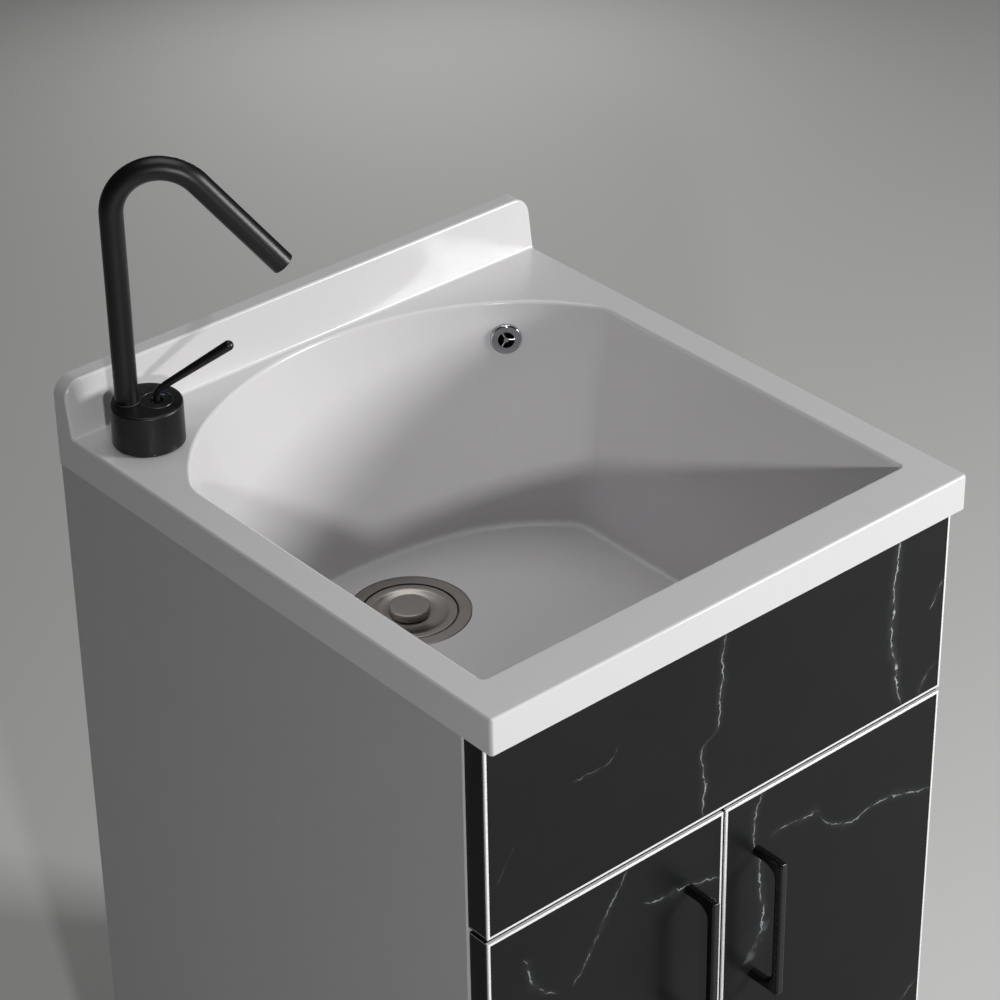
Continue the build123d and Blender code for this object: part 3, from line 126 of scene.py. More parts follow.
floor_corners = [(x * FLOOR_HALF, y * FLOOR_HALF, 0) for x, y in ((-1, -1), (1, -1), (1, 1), (-1, 1))]
floor_mesh = bpy.data.meshes.new("floor")
floor_mesh.from_pydata(floor_corners, [], [(0, 1, 2, 3)])
floor_finish = new_finish("pale_floor", {"Base Color": FLOOR_COLOUR, "Roughness": FLOOR_ROUGHNESS})
floor_mesh.materials.append(floor_finish)
put("floor", floor_mesh)

# ---------------------------------------------------------------- side panels
# Two 16 mm sides of faced board, pale grey, with a brighter band along the front edge. They hold the base,
# the rails and the back between them with dowels and glue, and carry the basin.

BOARD_DARKER, BOARD_LIGHTER = (0.480, 0.480, 0.490), (0.508, 0.508, 0.518)
BAND_COLOUR = (0.69, 0.69, 0.69)
BAND_DEPTH, BAND_FADE = 0.0004, 0.0003
USUAL_NOISE = (0.3, 0.7)


def add_node(owner, kind, inputs=None, **settings):
    """A node in a finish or a tree, with its settings, and its inputs by place or name: values or sockets."""
    tree = getattr(owner, "node_tree", owner)
    node = tree.nodes.new(kind)
    for key, value in settings.items():
        setattr(node, key, value)
    for key, value in (inputs or {}).items():
        if isinstance(value, bpy.types.NodeSocket):
            tree.links.new(value, node.inputs[key])
        else:
            node.inputs[key].default_value = value
    return node


def math_of(owner, operation, a, b=0.0):
    """One sum on two numbers or sockets."""
    return add_node(owner, "ShaderNodeMath", {0: a, 1: b}, operation=operation).outputs[0]


def axes_of(finish, vector):
    """The three numbers of a place or of a direction."""
    return add_node(finish, "ShaderNodeSeparateXYZ", {0: vector}).outputs


def place_of(finish, stretch=(1, 1, 1), centre=(0, 0, 0)):
    """Places on the piece in metres, moved to a centre and stretched."""
    place = add_node(finish, "ShaderNodeTexCoord").outputs["Object"]
    moved = add_node(finish, "ShaderNodeVectorMath", {0: place, 1: centre}, operation="SUBTRACT").outputs[0]
    return add_node(finish, "ShaderNodeVectorMath", {0: moved, 1: stretch}, operation="MULTIPLY").outputs[0]


def noise_at(finish, place, scale, detail):
    """Noise between 0 and 1 at a place, with features of about 1/scale metres."""
    inputs = {"Vector": place, "Scale": scale, "Detail": detail}
    return add_node(finish, "ShaderNodeTexNoise", inputs).outputs["Fac"]


def grain(finish, scale, stretch=(1, 1, 1), detail=3.0):
    """Noise that stays with the piece."""
    return noise_at(finish, place_of(finish, stretch), scale, detail)


def between(finish, value, low, high, out_low, out_high, smooth=False):
    """Carry the range low to high over to another range, straight or easing in and out."""
    ends = {0: value, 1: low, 2: high, 3: out_low, 4: out_high}
    kind = "SMOOTHSTEP" if smooth else "LINEAR"
    return add_node(finish, "ShaderNodeMapRange", ends, interpolation_type=kind).outputs[0]


def tint(finish, factor, colour_a, colour_b):
    """The first colour where the factor is 0 and the second where it is 1, each three numbers or a socket."""
    a, b = (c if isinstance(c, bpy.types.NodeSocket) else (*c, 1) for c in (colour_a, colour_b))
    return add_node(finish, "ShaderNodeMix", {0: factor, 6: a, 7: b}, data_type="RGBA").outputs[2]


def connect(finish, socket_name, value):
    """Run a node's socket into one of the shader's."""
    finish.node_tree.links.new(value, shader_inputs(finish)[socket_name])


def roughen(finish, noise, low, high):
    """Let the roughness follow a noise over its usual range."""
    connect(finish, "Roughness", between(finish, noise, *USUAL_NOISE, low, high))


def relief(finish, noise, depth, strength=1.0):
    """Let the surface rise with a noise, by a depth in metres."""
    bump = add_node(finish, "ShaderNodeBump", {"Height": noise, "Distance": depth, "Strength": strength})
    connect(finish, "Normal", bump.outputs[0])


def coat_with(finish, *nodes):
    """Give carried-over parts their finish."""
    for node in nodes:
        cad[node].data.materials.clear()
        cad[node].data.materials.append(finish)


side_board = new_finish("grey_board")
board_face = tint(side_board, grain(side_board, scale=26, detail=5.0), BOARD_DARKER, BOARD_LIGHTER)
board_y = axes_of(side_board, place_of(side_board))[1]
band_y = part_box("side_panel_left")[0][1] + BAND_DEPTH
in_band = between(side_board, board_y, band_y, band_y + BAND_FADE, 1, 0)
connect(side_board, "Base Color", tint(side_board, in_band, board_face, BAND_COLOUR))
roughen(side_board, grain(side_board, scale=500), low=0.36, high=0.48)
relief(side_board, grain(side_board, scale=1400, detail=2.0), depth=0.00004, strength=0.3)
coat_with(side_board, "side_panel_left", "side_panel_right")

# ---------------------------------------------------------------- base, rails and back
# The base and the two rails are the same board with a plain off-white face, dowelled between the sides. The
# thin back has a service opening, and is pinned on with brads all round its edge.

BRAD_GAPS_UP, BRAD_GAPS_ACROSS = 8, 6
BRAD_END_INSET, BRAD_SIDE_INSET, BRAD_EDGE_INSET = 0.030, 0.007, 0.008
BRAD_LIFT = 0.0002
HEAD_CORNERS = 20
RECESS_LONG, RECESS_BROAD, RECESS_TALL = 1.1, 0.26, 1.06


def mottled(name, colour, scale, spread, rough, depth, metal=0.0, stretch=(1, 1, 1)):
    """A finish with the usual slight unevenness: its colour, roughness and relief all follow one grain."""
    finish = new_finish(name, {"Metallic": metal})
    fine = grain(finish, scale, stretch)
    darker = tuple(c * (1 - spread) for c in colour)
    lighter = tuple(min(1.0, c * (1 + spread)) for c in colour)
    connect(finish, "Base Color", tint(finish, fine, darker, lighter))
    roughen(finish, fine, *rough)
    relief(finish, fine, depth)
    return finish


def new_tree(name, inputs):
    """An empty Geometry Nodes tree that takes a mesh and named inputs, and what it is given."""
    tree = bpy.data.node_groups.new(name, "GeometryNodeTree")
    tree.interface.new_socket("Geometry", in_out="INPUT", socket_type="NodeSocketGeometry")
    for label, kind in inputs.items():
        tree.interface.new_socket(label, in_out="INPUT", socket_type="NodeSocket" + kind)
    tree.interface.new_socket("Geometry", in_out="OUTPUT", socket_type="NodeSocketGeometry")
    return tree, add_node(tree, "NodeGroupInput").outputs


def dress(tree, geometry, material):
    """Put a material on what a tree has made."""
    return add_node(tree, "GeometryNodeSetMaterial", {"Geometry": geometry, "Material": material}).outputs[0]


def head_tree():
    """Round heads with a crossed recess, drawn as dark bars of painted shade, one on every point of the
    piece's own mesh.
    """
    tree, given = new_tree("screw_heads", {
        "Head radius": "Float", "Head height": "Float", "Facing": "Vector",
        "Metal": "Material", "Recess": "Material",
    })
    radius, height = given["Head radius"], given["Head height"]
    disc_size = {"Vertices": HEAD_CORNERS, "Radius": radius, "Depth": height}
    disc = add_node(tree, "GeometryNodeMeshCylinder", disc_size).outputs["Mesh"]
    joined = add_node(tree, "GeometryNodeJoinGeometry", {0: dress(tree, disc, given["Metal"])})
    for long_side in (0, 1):
        size = add_node(tree, "ShaderNodeCombineXYZ", {
            long_side: math_of(tree, "MULTIPLY", radius, RECESS_LONG),
            1 - long_side: math_of(tree, "MULTIPLY", radius, RECESS_BROAD),
            2: math_of(tree, "MULTIPLY", height, RECESS_TALL),
        })
        bar = add_node(tree, "GeometryNodeMeshCube", {"Size": size.outputs[0]}).outputs["Mesh"]
        tree.links.new(dress(tree, bar, given["Recess"]), joined.inputs[0])
    turn = add_node(tree, "FunctionNodeAlignRotationToVector", {"Vector": given["Facing"]}, axis="Z")
    spread = add_node(tree, "GeometryNodeInstanceOnPoints", {
        "Points": given["Geometry"], "Instance": joined.outputs[0], "Rotation": turn.outputs[0],
    })
    real = add_node(tree, "GeometryNodeRealizeInstances", {0: spread.outputs[0]})
    add_node(tree, "NodeGroupOutput", {0: real.outputs[0]})
    return tree


def set_inputs(modifier, values):
    """Set a tree's named inputs by their identifiers."""
    for item in modifier.node_group.interface.items_tree:
        if item.item_type == "SOCKET" and item.in_out == "INPUT" and item.name in values:
            modifier[item.identifier] = values[item.name]


def settle(piece):
    """Bake the piece's modifiers into a plain mesh and take them off."""
    bpy.context.view_layer.update()
    graph = bpy.context.evaluated_depsgraph_get()
    mesh = bpy.data.meshes.new_from_object(
        piece.evaluated_get(graph), preserve_all_data_layers=True, depsgraph=graph,
    )
    piece.modifiers.clear()
    piece.data = mesh
    mesh.name = piece.name


def spread_on(name, places, tree, inputs, body):
    """What a tree makes at the given places in metres, as one plain mesh that rides on a body."""
    mesh = bpy.data.meshes.new(name)
    mesh.from_pydata(places, [], [])
    piece = put(name, mesh)
    modifier = piece.modifiers.new("spread", "NODES")
    modifier.node_group = tree
    set_inputs(modifier, inputs)
    settle(piece)
    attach(piece, body)


inside_board = mottled(
    "inside_board", (0.55, 0.54, 0.52), scale=340, spread=0.03, rough=(0.44, 0.58), depth=0.00004,
)
coat_with(inside_board, "base_panel", "back_panel", "rear_rail", "front_rail")

zinc = mottled(
    "zinc_plate", (0.56, 0.56, 0.58), scale=260, spread=0.07, rough=(0.26, 0.44), depth=0.00005, metal=1.0,
)
# painted shade: the near black that fills each screw head's cross recess
painted_recess_shade = mottled(
    "screw_recess_shade", (0.03, 0.03, 0.03), scale=900, spread=0.2, rough=(0.5, 0.7), depth=0.00002,
)
HEADS = head_tree()


def screw_heads(name, places, facing, radius, height, body):
    """Zinc-plated heads at the given places in metres, all facing one way."""
    spread_on(name, places, HEADS, {
        "Head radius": radius, "Head height": height, "Facing": facing, "Metal": zinc, "Recess": painted_recess_shade,
    }, body)


(back_left, _, back_bottom), (back_right, back_y, back_top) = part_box("back_panel")
brad_y = back_y + BRAD_LIFT
brads = []
for step in range(BRAD_GAPS_UP + 1):
    z = back_bottom + BRAD_END_INSET + step * (back_top - back_bottom - 2 * BRAD_END_INSET) / BRAD_GAPS_UP
    brads += [(back_left + BRAD_SIDE_INSET, brad_y, z), (back_right - BRAD_SIDE_INSET, brad_y, z)]
for step in range(1, BRAD_GAPS_ACROSS):
    x = back_left + step * (back_right - back_left) / BRAD_GAPS_ACROSS
    brads += [(x, brad_y, back_bottom + BRAD_EDGE_INSET), (x, brad_y, back_top - BRAD_EDGE_INSET)]
screw_heads("back_brads", brads, facing=(0, 1, 0), radius=0.0016, height=0.0008, body="cabinet")

# ---------------------------------------------------------------- feet
# Screw-in levelling feet: a flanged nylon leg under each corner, a zinc-plated stud whose thread shows below
# it, and a wide nylon pad on the floor.

MERGE_WITHIN, TINY_EDGE = 4e-6, 1e-7
SHARP_TURN = math.radians(32)
FACE_WEIGHT = 80
FLANGE_HALF = 0.026
STUD_THREAD_Z = 0.0235
RING_CORNERS, CREST_CORNERS = 28, 6
CREST_PER_PITCH = 0.36

body_of = {node: body for body, nodes in record["behaviour"]["bodies"].items() for node in nodes}


def ease(node, finish):
    """A merged copy of a part, with even shading over its rounded edges, which stands for the part itself."""
    mesh = cad[node].data.copy()
    form = bmesh.new()
    form.from_mesh(mesh)
    bmesh.ops.remove_doubles(form, verts=form.verts, dist=MERGE_WITHIN)
    bmesh.ops.dissolve_degenerate(form, edges=form.edges, dist=TINY_EDGE)
    for face in form.faces:
        face.smooth = True
        face.material_index = 0
    for edge in form.edges:
        edge.smooth = len(edge.link_faces) == 2 and edge.calc_face_angle(0) < SHARP_TURN
    form.to_mesh(mesh)
    form.free()
    mesh.materials.clear()
    mesh.materials.append(finish)
    piece = put(node + "_finished", mesh)
    even = piece.modifiers.new("even", "WEIGHTED_NORMAL")
    even.keep_sharp = True
    even.weight = FACE_WEIGHT
    settle(piece)
    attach(piece, body_of[node])
    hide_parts(node)


def ridge_tree():
    """Fine rings at an even pitch, rising from every point of the piece's own mesh, as a thread looks."""
    tree, given = new_tree("thread_ridges", {
        "Radius": "Float", "Pitch": "Float", "Turns": "Int", "Metal": "Material",
    })
    circle = "GeometryNodeCurvePrimitiveCircle"
    ring = add_node(tree, circle, {"Resolution": RING_CORNERS, "Radius": given["Radius"]})
    crest_radius = math_of(tree, "MULTIPLY", given["Pitch"], CREST_PER_PITCH)
    crest = add_node(tree, circle, {"Resolution": CREST_CORNERS, "Radius": crest_radius})
    rounds = {"Curve": ring.outputs[0], "Profile Curve": crest.outputs[0]}
    solid = add_node(tree, "GeometryNodeCurveToMesh", rounds).outputs[0]
    step_up = add_node(tree, "ShaderNodeCombineXYZ", {2: given["Pitch"]})
    steps = {"Count": given["Turns"], "Offset": step_up.outputs[0]}
    line = add_node(tree, "GeometryNodeMeshLine", steps).outputs[0]
    stack = add_node(tree, "GeometryNodeInstanceOnPoints", {"Points": line, "Instance": solid}).outputs[0]
    every = {"Points": given["Geometry"], "Instance": stack}
    threads = add_node(tree, "GeometryNodeInstanceOnPoints", every)
    real = add_node(tree, "GeometryNodeRealizeInstances", {0: threads.outputs[0]})
    add_node(tree, "NodeGroupOutput", {0: dress(tree, real.outputs[0], given["Metal"])})
    return tree


RIDGES = ridge_tree()


def thread(name, places, radius, pitch, turns, finish):
    """Thread ridges rising from each place, in metres."""
    inputs = {"Radius": radius, "Pitch": pitch, "Turns": turns, "Metal": finish}
    spread_on(name, places, RIDGES, inputs, "cabinet")


nylon = mottled("black_nylon", (0.03, 0.03, 0.032), scale=420, spread=0.12, rough=(0.44, 0.6), depth=0.00012)
ease("foot_legs", nylon)
ease("foot_pads", nylon)
coat_with(zinc, "foot_studs")
(legs_left, legs_front, _), (legs_right, legs_back, _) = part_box("foot_legs")
thread_places = [
    (x, y, STUD_THREAD_Z) for x in (legs_left + FLANGE_HALF, legs_right - FLANGE_HALF)
    for y in (legs_front + FLANGE_HALF, legs_back - FLANGE_HALF)
]
thread("foot_threads", thread_places, radius=0.0049, pitch=0.0010, turns=6, finish=zinc)

# ---------------------------------------------------------------- fascia and door panels
# Board faced with laminate in a black marble pattern: near black, half gloss, with a few thin, broken,
# grey-white veins. The fascia is screwed to brackets from inside, and the doors hang on concealed hinges.

MARBLE_DARKER, MARBLE_LIGHTER = (0.0060, 0.0063, 0.0070), (0.0105, 0.0108, 0.0110)
VEIN_COLOUR = (0.40, 0.42, 0.45)
WANDER, QUIVER = 0.016, 0.006
CORE_SHARE = 0.15
HAZE_WIDTHS, HAZE_STRENGTH = 7, 0.045
BREAKS_FROM, BREAKS_TO = (0.41, 0.57), (0.10, 1.1)
FADE_SHARE, FADE_PAST_END = 0.12, 0.2
FACE_DEPTH, FACE_FADE = 0.0012, 0.0004

# Each vein: upright or level, its width in metres, its strength, and the places (x, z) that it runs through.
UPRIGHT, LEVEL = True, False
VEINS = [
    # on the fascia
    (UPRIGHT, 0.0012, 0.90, [(0.190, 0.800), (0.184, 0.720), (0.190, 0.684), (0.201, 0.628)]),
    (UPRIGHT, 0.0010, 0.70, [
        (-0.006, 0.795), (-0.009, 0.707), (-0.027, 0.689), (-0.026, 0.660), (-0.024, 0.624),
    ]),
    (LEVEL, 0.0006, 0.28, [(-0.112, 0.740), (-0.128, 0.728), (-0.162, 0.729)]),
    (LEVEL, 0.0006, 0.22, [(-0.238, 0.668), (-0.226, 0.688), (-0.219, 0.700)]),
    (UPRIGHT, 0.0009, 0.50, [(0.241, 0.732), (0.237, 0.720), (0.231, 0.708)]),
    (UPRIGHT, 0.0009, 0.50, [(0.244, 0.652), (0.230, 0.642), (0.222, 0.626)]),
    # on the right door, round its handle and across its top
    (UPRIGHT, 0.0012, 0.62, [(0.046, 0.620), (0.034, 0.580), (0.041, 0.541), (0.046, 0.495), (0.036, 0.455)]),
    (UPRIGHT, 0.0065, 0.15, [(0.052, 0.482), (0.041, 0.464), (0.034, 0.446)]),
    (LEVEL, 0.0010, 0.62, [
        (0.247, 0.520), (0.218, 0.529), (0.185, 0.538), (0.172, 0.538), (0.148, 0.534), (0.123, 0.546),
        (0.108, 0.564),
    ]),
    (LEVEL, 0.0010, 0.58, [(0.112, 0.560), (0.104, 0.567), (0.091, 0.566), (0.070, 0.569), (0.050, 0.567)]),
    # on the left door
    (UPRIGHT, 0.0009, 0.50, [(-0.104, 0.618), (-0.121, 0.590), (-0.140, 0.558), (-0.162, 0.530)]),
    (LEVEL, 0.0010, 0.55, [(-0.004, 0.556), (-0.036, 0.564), (-0.060, 0.568), (-0.088, 0.575)]),
    (UPRIGHT, 0.0012, 0.50, [(-0.209, 0.586), (-0.206, 0.566), (-0.198, 0.548), (-0.176, 0.532)]),
    # low on both doors, drawn to match the rest
    (LEVEL, 0.0011, 0.50, [
        (0.246, 0.312), (0.236, 0.306), (0.222, 0.296), (0.170, 0.262), (0.110, 0.280), (0.060, 0.330),
    ]),
    (UPRIGHT, 0.0011, 0.55, [(0.150, 0.272), (0.132, 0.220), (0.148, 0.170), (0.120, 0.104)]),
    (LEVEL, 0.0011, 0.50, [(-0.030, 0.330), (-0.090, 0.300), (-0.150, 0.318), (-0.235, 0.262)]),
    (UPRIGHT, 0.0010, 0.45, [(-0.080, 0.302), (-0.072, 0.230), (-0.098, 0.170), (-0.090, 0.110)]),
]

marble = new_finish("black_marble", {"Specular IOR Level": 0.12})
marble_xyz = axes_of(marble, place_of(marble))
breaks = between(marble, grain(marble, scale=95), *BREAKS_FROM, *BREAKS_TO)


def swing(scale, detail, reach):
    """How far a vein strays aside with one grain, in metres."""
    either_way = math_of(marble, "SUBTRACT", grain(marble, scale, detail=detail), 0.5)
    return math_of(marble, "MULTIPLY", either_way, reach)


slow_swing = swing(scale=42, detail=4.0, reach=WANDER)
quick_swing = swing(scale=210, detail=3.0, reach=QUIVER)
stray = math_of(marble, "ADD", slow_swing, quick_swing)


def vein(upright, width, strength, places):
    """A broken vein with a soft haze round it, fading at both ends."""
    along, across = (marble_xyz[2], marble_xyz[0]) if upright else (marble_xyz[0], marble_xyz[2])
    run = sorted((z, x) if upright else (x, z) for x, z in places)
    first, last = run[0][0], run[-1][0]
    near, far = min(aside for _, aside in run), max(aside for _, aside in run)
    points = [((step - first) / (last - first), (aside - near) / (far - near)) for step, aside in run]
    line = add_node(marble, "ShaderNodeFloatCurve", {"Value": between(marble, along, first, last, 0, 1)})
    curve = line.mapping.curves[0]
    curve.points[0].location, curve.points[1].location = points[0], points[-1]
    for point in points[1:-1]:
        curve.points.new(*point)
    for point in curve.points:
        point.handle_type = "AUTO_CLAMPED"
    line.mapping.update()
    centre = between(marble, line.outputs[0], 0, 1, near, far)
    aside_by = math_of(marble, "SUBTRACT", math_of(marble, "ADD", across, stray), centre)
    off = math_of(marble, "ABSOLUTE", aside_by)
    core = between(marble, off, CORE_SHARE * width, width, 1, 0, smooth=True)
    haze = between(marble, off, 0, HAZE_WIDTHS * width, HAZE_STRENGTH, 0, smooth=True)
    body = math_of(marble, "MAXIMUM", math_of(marble, "MULTIPLY", core, breaks), haze)
    fade = FADE_SHARE * (last - first)
    start = between(marble, along, first - FADE_PAST_END * fade, first + fade, 0, 1, smooth=True)
    stop = between(marble, along, last - fade, last + FADE_PAST_END * fade, 1, 0, smooth=True)
    ends = math_of(marble, "MULTIPLY", start, stop)
    return math_of(marble, "MULTIPLY", ends, math_of(marble, "MULTIPLY", body, strength))


veined = vein(*VEINS[0])
for values in VEINS[1:]:
    veined = math_of(marble, "MAXIMUM", veined, vein(*values))
face_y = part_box("fascia_panel")[0][1] + FACE_DEPTH
on_face = between(marble, marble_xyz[1], face_y, face_y + FACE_FADE, 1, 0)
marble_ground = tint(marble, grain(marble, scale=14, detail=5.0), MARBLE_DARKER, MARBLE_LIGHTER)
front_veins = math_of(marble, "MULTIPLY", veined, on_face)
connect(marble, "Base Color", tint(marble, front_veins, marble_ground, VEIN_COLOUR))
roughen(marble, grain(marble, scale=700, detail=2.0), low=0.32, high=0.42)
relief(marble, grain(marble, scale=1200, detail=2.0), depth=0.00003, strength=0.35)
coat_with(marble, "fascia_panel", "door_panel_left", "door_panel_right")

# ---------------------------------------------------------------- bright trims
# A brushed aluminium profile, pressed on round the front of each panel. Its lip is bright. Behind the lip it
# carries painted shade for the gaps between panels, except where it faces up and stays bright as if lit. On a
# panel's outer edge the end of the tape shows as one thin line.

LIP_DEPTH, LIP_FADE = 0.0014, 0.0003
PAINTED_GAP_SHADE = (0.05, 0.05, 0.05)
UPWARD = (0.4, 0.6)
LINE_SUNK, LINE_PROUD, LINE_HALF = 0.0006, 0.00025, 0.0005
LINE_GAP = 0.0001
LINE_FROM_END = 0.0009


def facing_of(finish):
    """Which way the surface faces."""
    return add_node(finish, "ShaderNodeNewGeometry").outputs["Normal"]


def cover(finish, where, colour):
    """Another colour over the finish's own, where the factor is 1."""
    own = shader_inputs(finish)["Base Color"].links[0].from_socket
    connect(finish, "Base Color", tint(finish, where, own, colour))


def shape_piece(name, form, finish, body):
    """A piece from a closed form, its faces turned outward."""
    bmesh.ops.recalc_face_normals(form, faces=form.faces)
    mesh = bpy.data.meshes.new(name)
    form.to_mesh(mesh)
    form.free()
    mesh.materials.append(finish)
    piece = put(name, mesh)
    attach(piece, body)


trim_metal = mottled(
    "bright_trim", (0.95, 0.95, 0.96), scale=30, spread=0.03, rough=(0.20, 0.34), depth=0.00002, metal=0.2,
    stretch=(1, 60, 60),
)
lip_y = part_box("fascia_trim")[0][1] + LIP_DEPTH
behind_lip = between(trim_metal, axes_of(trim_metal, place_of(trim_metal))[1], lip_y, lip_y + LIP_FADE, 0, 1)
not_upward = between(trim_metal, axes_of(trim_metal, facing_of(trim_metal))[2], *UPWARD, 1, 0)
# painted shade: the trim is dark behind its lip, where it sits in the gaps, unless it faces up
cover(trim_metal, math_of(trim_metal, "MINIMUM", behind_lip, not_upward), PAINTED_GAP_SHADE)
for trim in ("fascia_trim", "door_trim_left", "door_trim_right"):
    ease(trim, trim_metal)

line_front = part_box("door_trim_left")[1][1] + LINE_GAP
line_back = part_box("door_panel_left")[1][1] - LINE_GAP


def side_line(name, edge_x, z, body):
    """A thin line along a panel's outer edge, from the trim to the panel's back."""
    side = math.copysign(1, edge_x)
    form = bmesh.new()
    corners = [
        form.verts.new((x, y, z + dz)) for x in (edge_x - side * LINE_SUNK, edge_x + side * LINE_PROUD)
        for y in (line_front, line_back) for dz in (-LINE_HALF, LINE_HALF)
    ]
    bmesh.ops.convex_hull(form, input=corners)
    shape_piece(name, form, trim_metal, body)


fascia_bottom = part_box("fascia_panel")[0][2]
for side_name, outer in (("left", 0), ("right", 1)):
    door_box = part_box("door_panel_" + side_name)
    edge_x, door_top = door_box[outer][0], door_box[1][2]
    side_line("door_edge_line_" + side_name, edge_x, door_top - LINE_FROM_END, "door_" + side_name)
    side_line("fascia_edge_line_" + side_name, edge_x, fascia_bottom + LINE_FROM_END, "cabinet")

# ---------------------------------------------------------------- handles
# Square bow handles, cast, their outer ridges eased, in a satin black coat. Two screws from inside each door
# hold them.

handle_black = mottled(
    "satin_black", (0.005, 0.005, 0.0055), scale=900, spread=0.12, rough=(0.24, 0.32), depth=0.00003,
)
shader_inputs(handle_black)["Specular IOR Level"].default_value = 0.32
for side_name in ("left", "right"):
    ease("handle_" + side_name, handle_black)
    coat_with(zinc, "handle_screws_" + side_name)

# ---------------------------------------------------------------- door bumpers
# Small clear dots of soft plastic, stuck inside each door near its free edge, so that it closes without a
# knock.

bumper = mottled("clear_dots", (0.70, 0.70, 0.69), scale=300, spread=0.02, rough=(0.25, 0.38), depth=0.00003)
shader_inputs(bumper)["Transmission Weight"].default_value = 0.4
coat_with(bumper, "door_bumpers_left", "door_bumpers_right")

# ---------------------------------------------------------------- hinges and brackets
# Concealed hinges of pressed, zinc-plated steel: a cup let into the door, and an arm on a plate screwed to
# the side panel. Small angle brackets of the same steel hold the fascia.

CUP_HALF = 0.027
CUP_SCREW_OFF, PLATE_SCREW_OFF = 0.0225, 0.018
PLATE_SCREW_Y = -0.172
PLATE_THICK = 0.004
HEAD_LIFT = 0.0004

coat_with(zinc, "fascia_brackets")
for side_name, side, outer in (("left", -1, 0), ("right", 1, 1)):
    ease("hinge_cups_" + side_name, zinc)
    ease("hinge_arms_" + side_name, zinc)
    cups_low, cups_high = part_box("hinge_cups_" + side_name)
    cup_x = (cups_low[0] + cups_high[0]) / 2
    heights = (cups_low[2] + CUP_HALF, cups_high[2] - CUP_HALF)
    cup_y = cups_high[1] + HEAD_LIFT
    cup_screws = [(cup_x, cup_y, z + dz) for z in heights for dz in (-CUP_SCREW_OFF, CUP_SCREW_OFF)]
    screw_heads(
        "cup_screws_" + side_name, cup_screws, facing=(0, 1, 0), radius=0.0032, height=0.0012,
        body="door_" + side_name,
    )
    plate_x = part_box("hinge_arms_" + side_name)[outer][0] - side * (PLATE_THICK + HEAD_LIFT)
    plate_screws = [
        (plate_x, PLATE_SCREW_Y, z + dz) for z in heights for dz in (-PLATE_SCREW_OFF, PLATE_SCREW_OFF)
    ]
    screw_heads(
        "plate_screws_" + side_name, plate_screws, facing=(-side, 0, 0), radius=0.0038, height=0.0014,
        body="cabinet",
    )

# ---------------------------------------------------------------- the one-piece top
# Deck, skirt, low back wall and deep bowl cast in one piece of glazed ceramic, dropped on the cabinet. The
# glaze is glossy, with a faint ripple and pin-head specks, and a painted highlight runs as a paler line along
# the floor's bend.

GLAZE_DARKER, GLAZE_LIGHTER = (0.691, 0.681, 0.690), (0.716, 0.705, 0.714)
SPECK_COLOUR, PAINTED_BEND_HIGHLIGHT = (0.66, 0.655, 0.65), (0.84, 0.83, 0.84)
SPECK_NOISE = (0.74, 0.80)
BEND_STARTS, BEND_STOPS = (0.42, 0.68), (0.72, 0.95)
BEND_LINE_TOP_Z, BEND_LINE_FADE = 0.642, 0.004

glaze = new_finish("white_glaze")
glaze_up = axes_of(glaze, facing_of(glaze))[2]
leans_enough = between(glaze, glaze_up, *BEND_STARTS, 0, 1, smooth=True)
not_yet_level = between(glaze, glaze_up, *BEND_STOPS, 1, 0, smooth=True)
in_bend = math_of(glaze, "MULTIPLY", leans_enough, not_yet_level)
glaze_z = axes_of(glaze, place_of(glaze))[2]
near_floor = between(glaze, glaze_z, BEND_LINE_TOP_Z - BEND_LINE_FADE, BEND_LINE_TOP_Z, 1, 0)
clouded = tint(glaze, grain(glaze, scale=9, detail=2.0), GLAZE_DARKER, GLAZE_LIGHTER)
# painted highlight: a paler line where the wall bends into the floor, near the floor
bend_highlighted = tint(glaze, math_of(glaze, "MULTIPLY", in_bend, near_floor), clouded, PAINTED_BEND_HIGHLIGHT)
specks = between(glaze, grain(glaze, scale=900, detail=1.0), *SPECK_NOISE, 0, 1)
connect(glaze, "Base Color", tint(glaze, specks, bend_highlighted, SPECK_COLOUR))
roughen(glaze, grain(glaze, scale=60, detail=4.0), low=0.17, high=0.24)
relief(glaze, grain(glaze, scale=130, detail=2.0), depth=0.00012, strength=0.35)
ease("basin_top", glaze)

# ---------------------------------------------------------------- sealant
# A thin bead of white sealant beds the top on the cabinet. It is squeezed on wet, smoothed with a finger and
# left to set.

sealant = mottled(
    "white_sealant", (0.71, 0.71, 0.70), scale=220, spread=0.02, rough=(0.4, 0.55), depth=0.00015,
)
coat_with(sealant, "sealant_bead")

# ---------------------------------------------------------------- mixer tap
# A low round body, a bent tube spout and a slim joystick lever, all brass under a fine-grained matt black
# coat. A thin disc closes the cartridge, with a short blue and a short red mark for cold and hot.

COAT_DARKER, COAT_LIGHTER = (0.0015, 0.0015, 0.002), (0.0055, 0.0055, 0.006)
TAP_TURN = math.radians(-38)
CAP_REACH, SPOUT_REACH = 0.0086, -0.0155
EDGE_RADIUS, MARK_RADIUS, SEAL_RADIUS = 0.01335, 0.0096, 0.0101
COLD_ARC, HOT_ARC = (14, 62), (222, 240)
EDGE_THICK, COLD_THICK, HOT_THICK, SEAL_THICK = 0.00022, 0.00045, 0.00040, 0.00060
MARK_FLAT = 0.16
SEAL_LIFT = 0.0002
AROUND, ABOUT, LEAST_AROUND = 72, 12, 6


def middle_of(node):
    """The middle of a part's box, in metres."""
    low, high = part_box(node)
    return tuple((a + b) / 2 for a, b in zip(low, high))


tap_x, tap_y, _ = middle_of("tap_shank")
tap_top_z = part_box("tap_body")[1][2]


def along_spout(reach, z):
    """A place measured from the tap's middle, toward where its spout points at rest."""
    return tap_x + reach * math.cos(TAP_TURN), tap_y + reach * math.sin(TAP_TURN), z


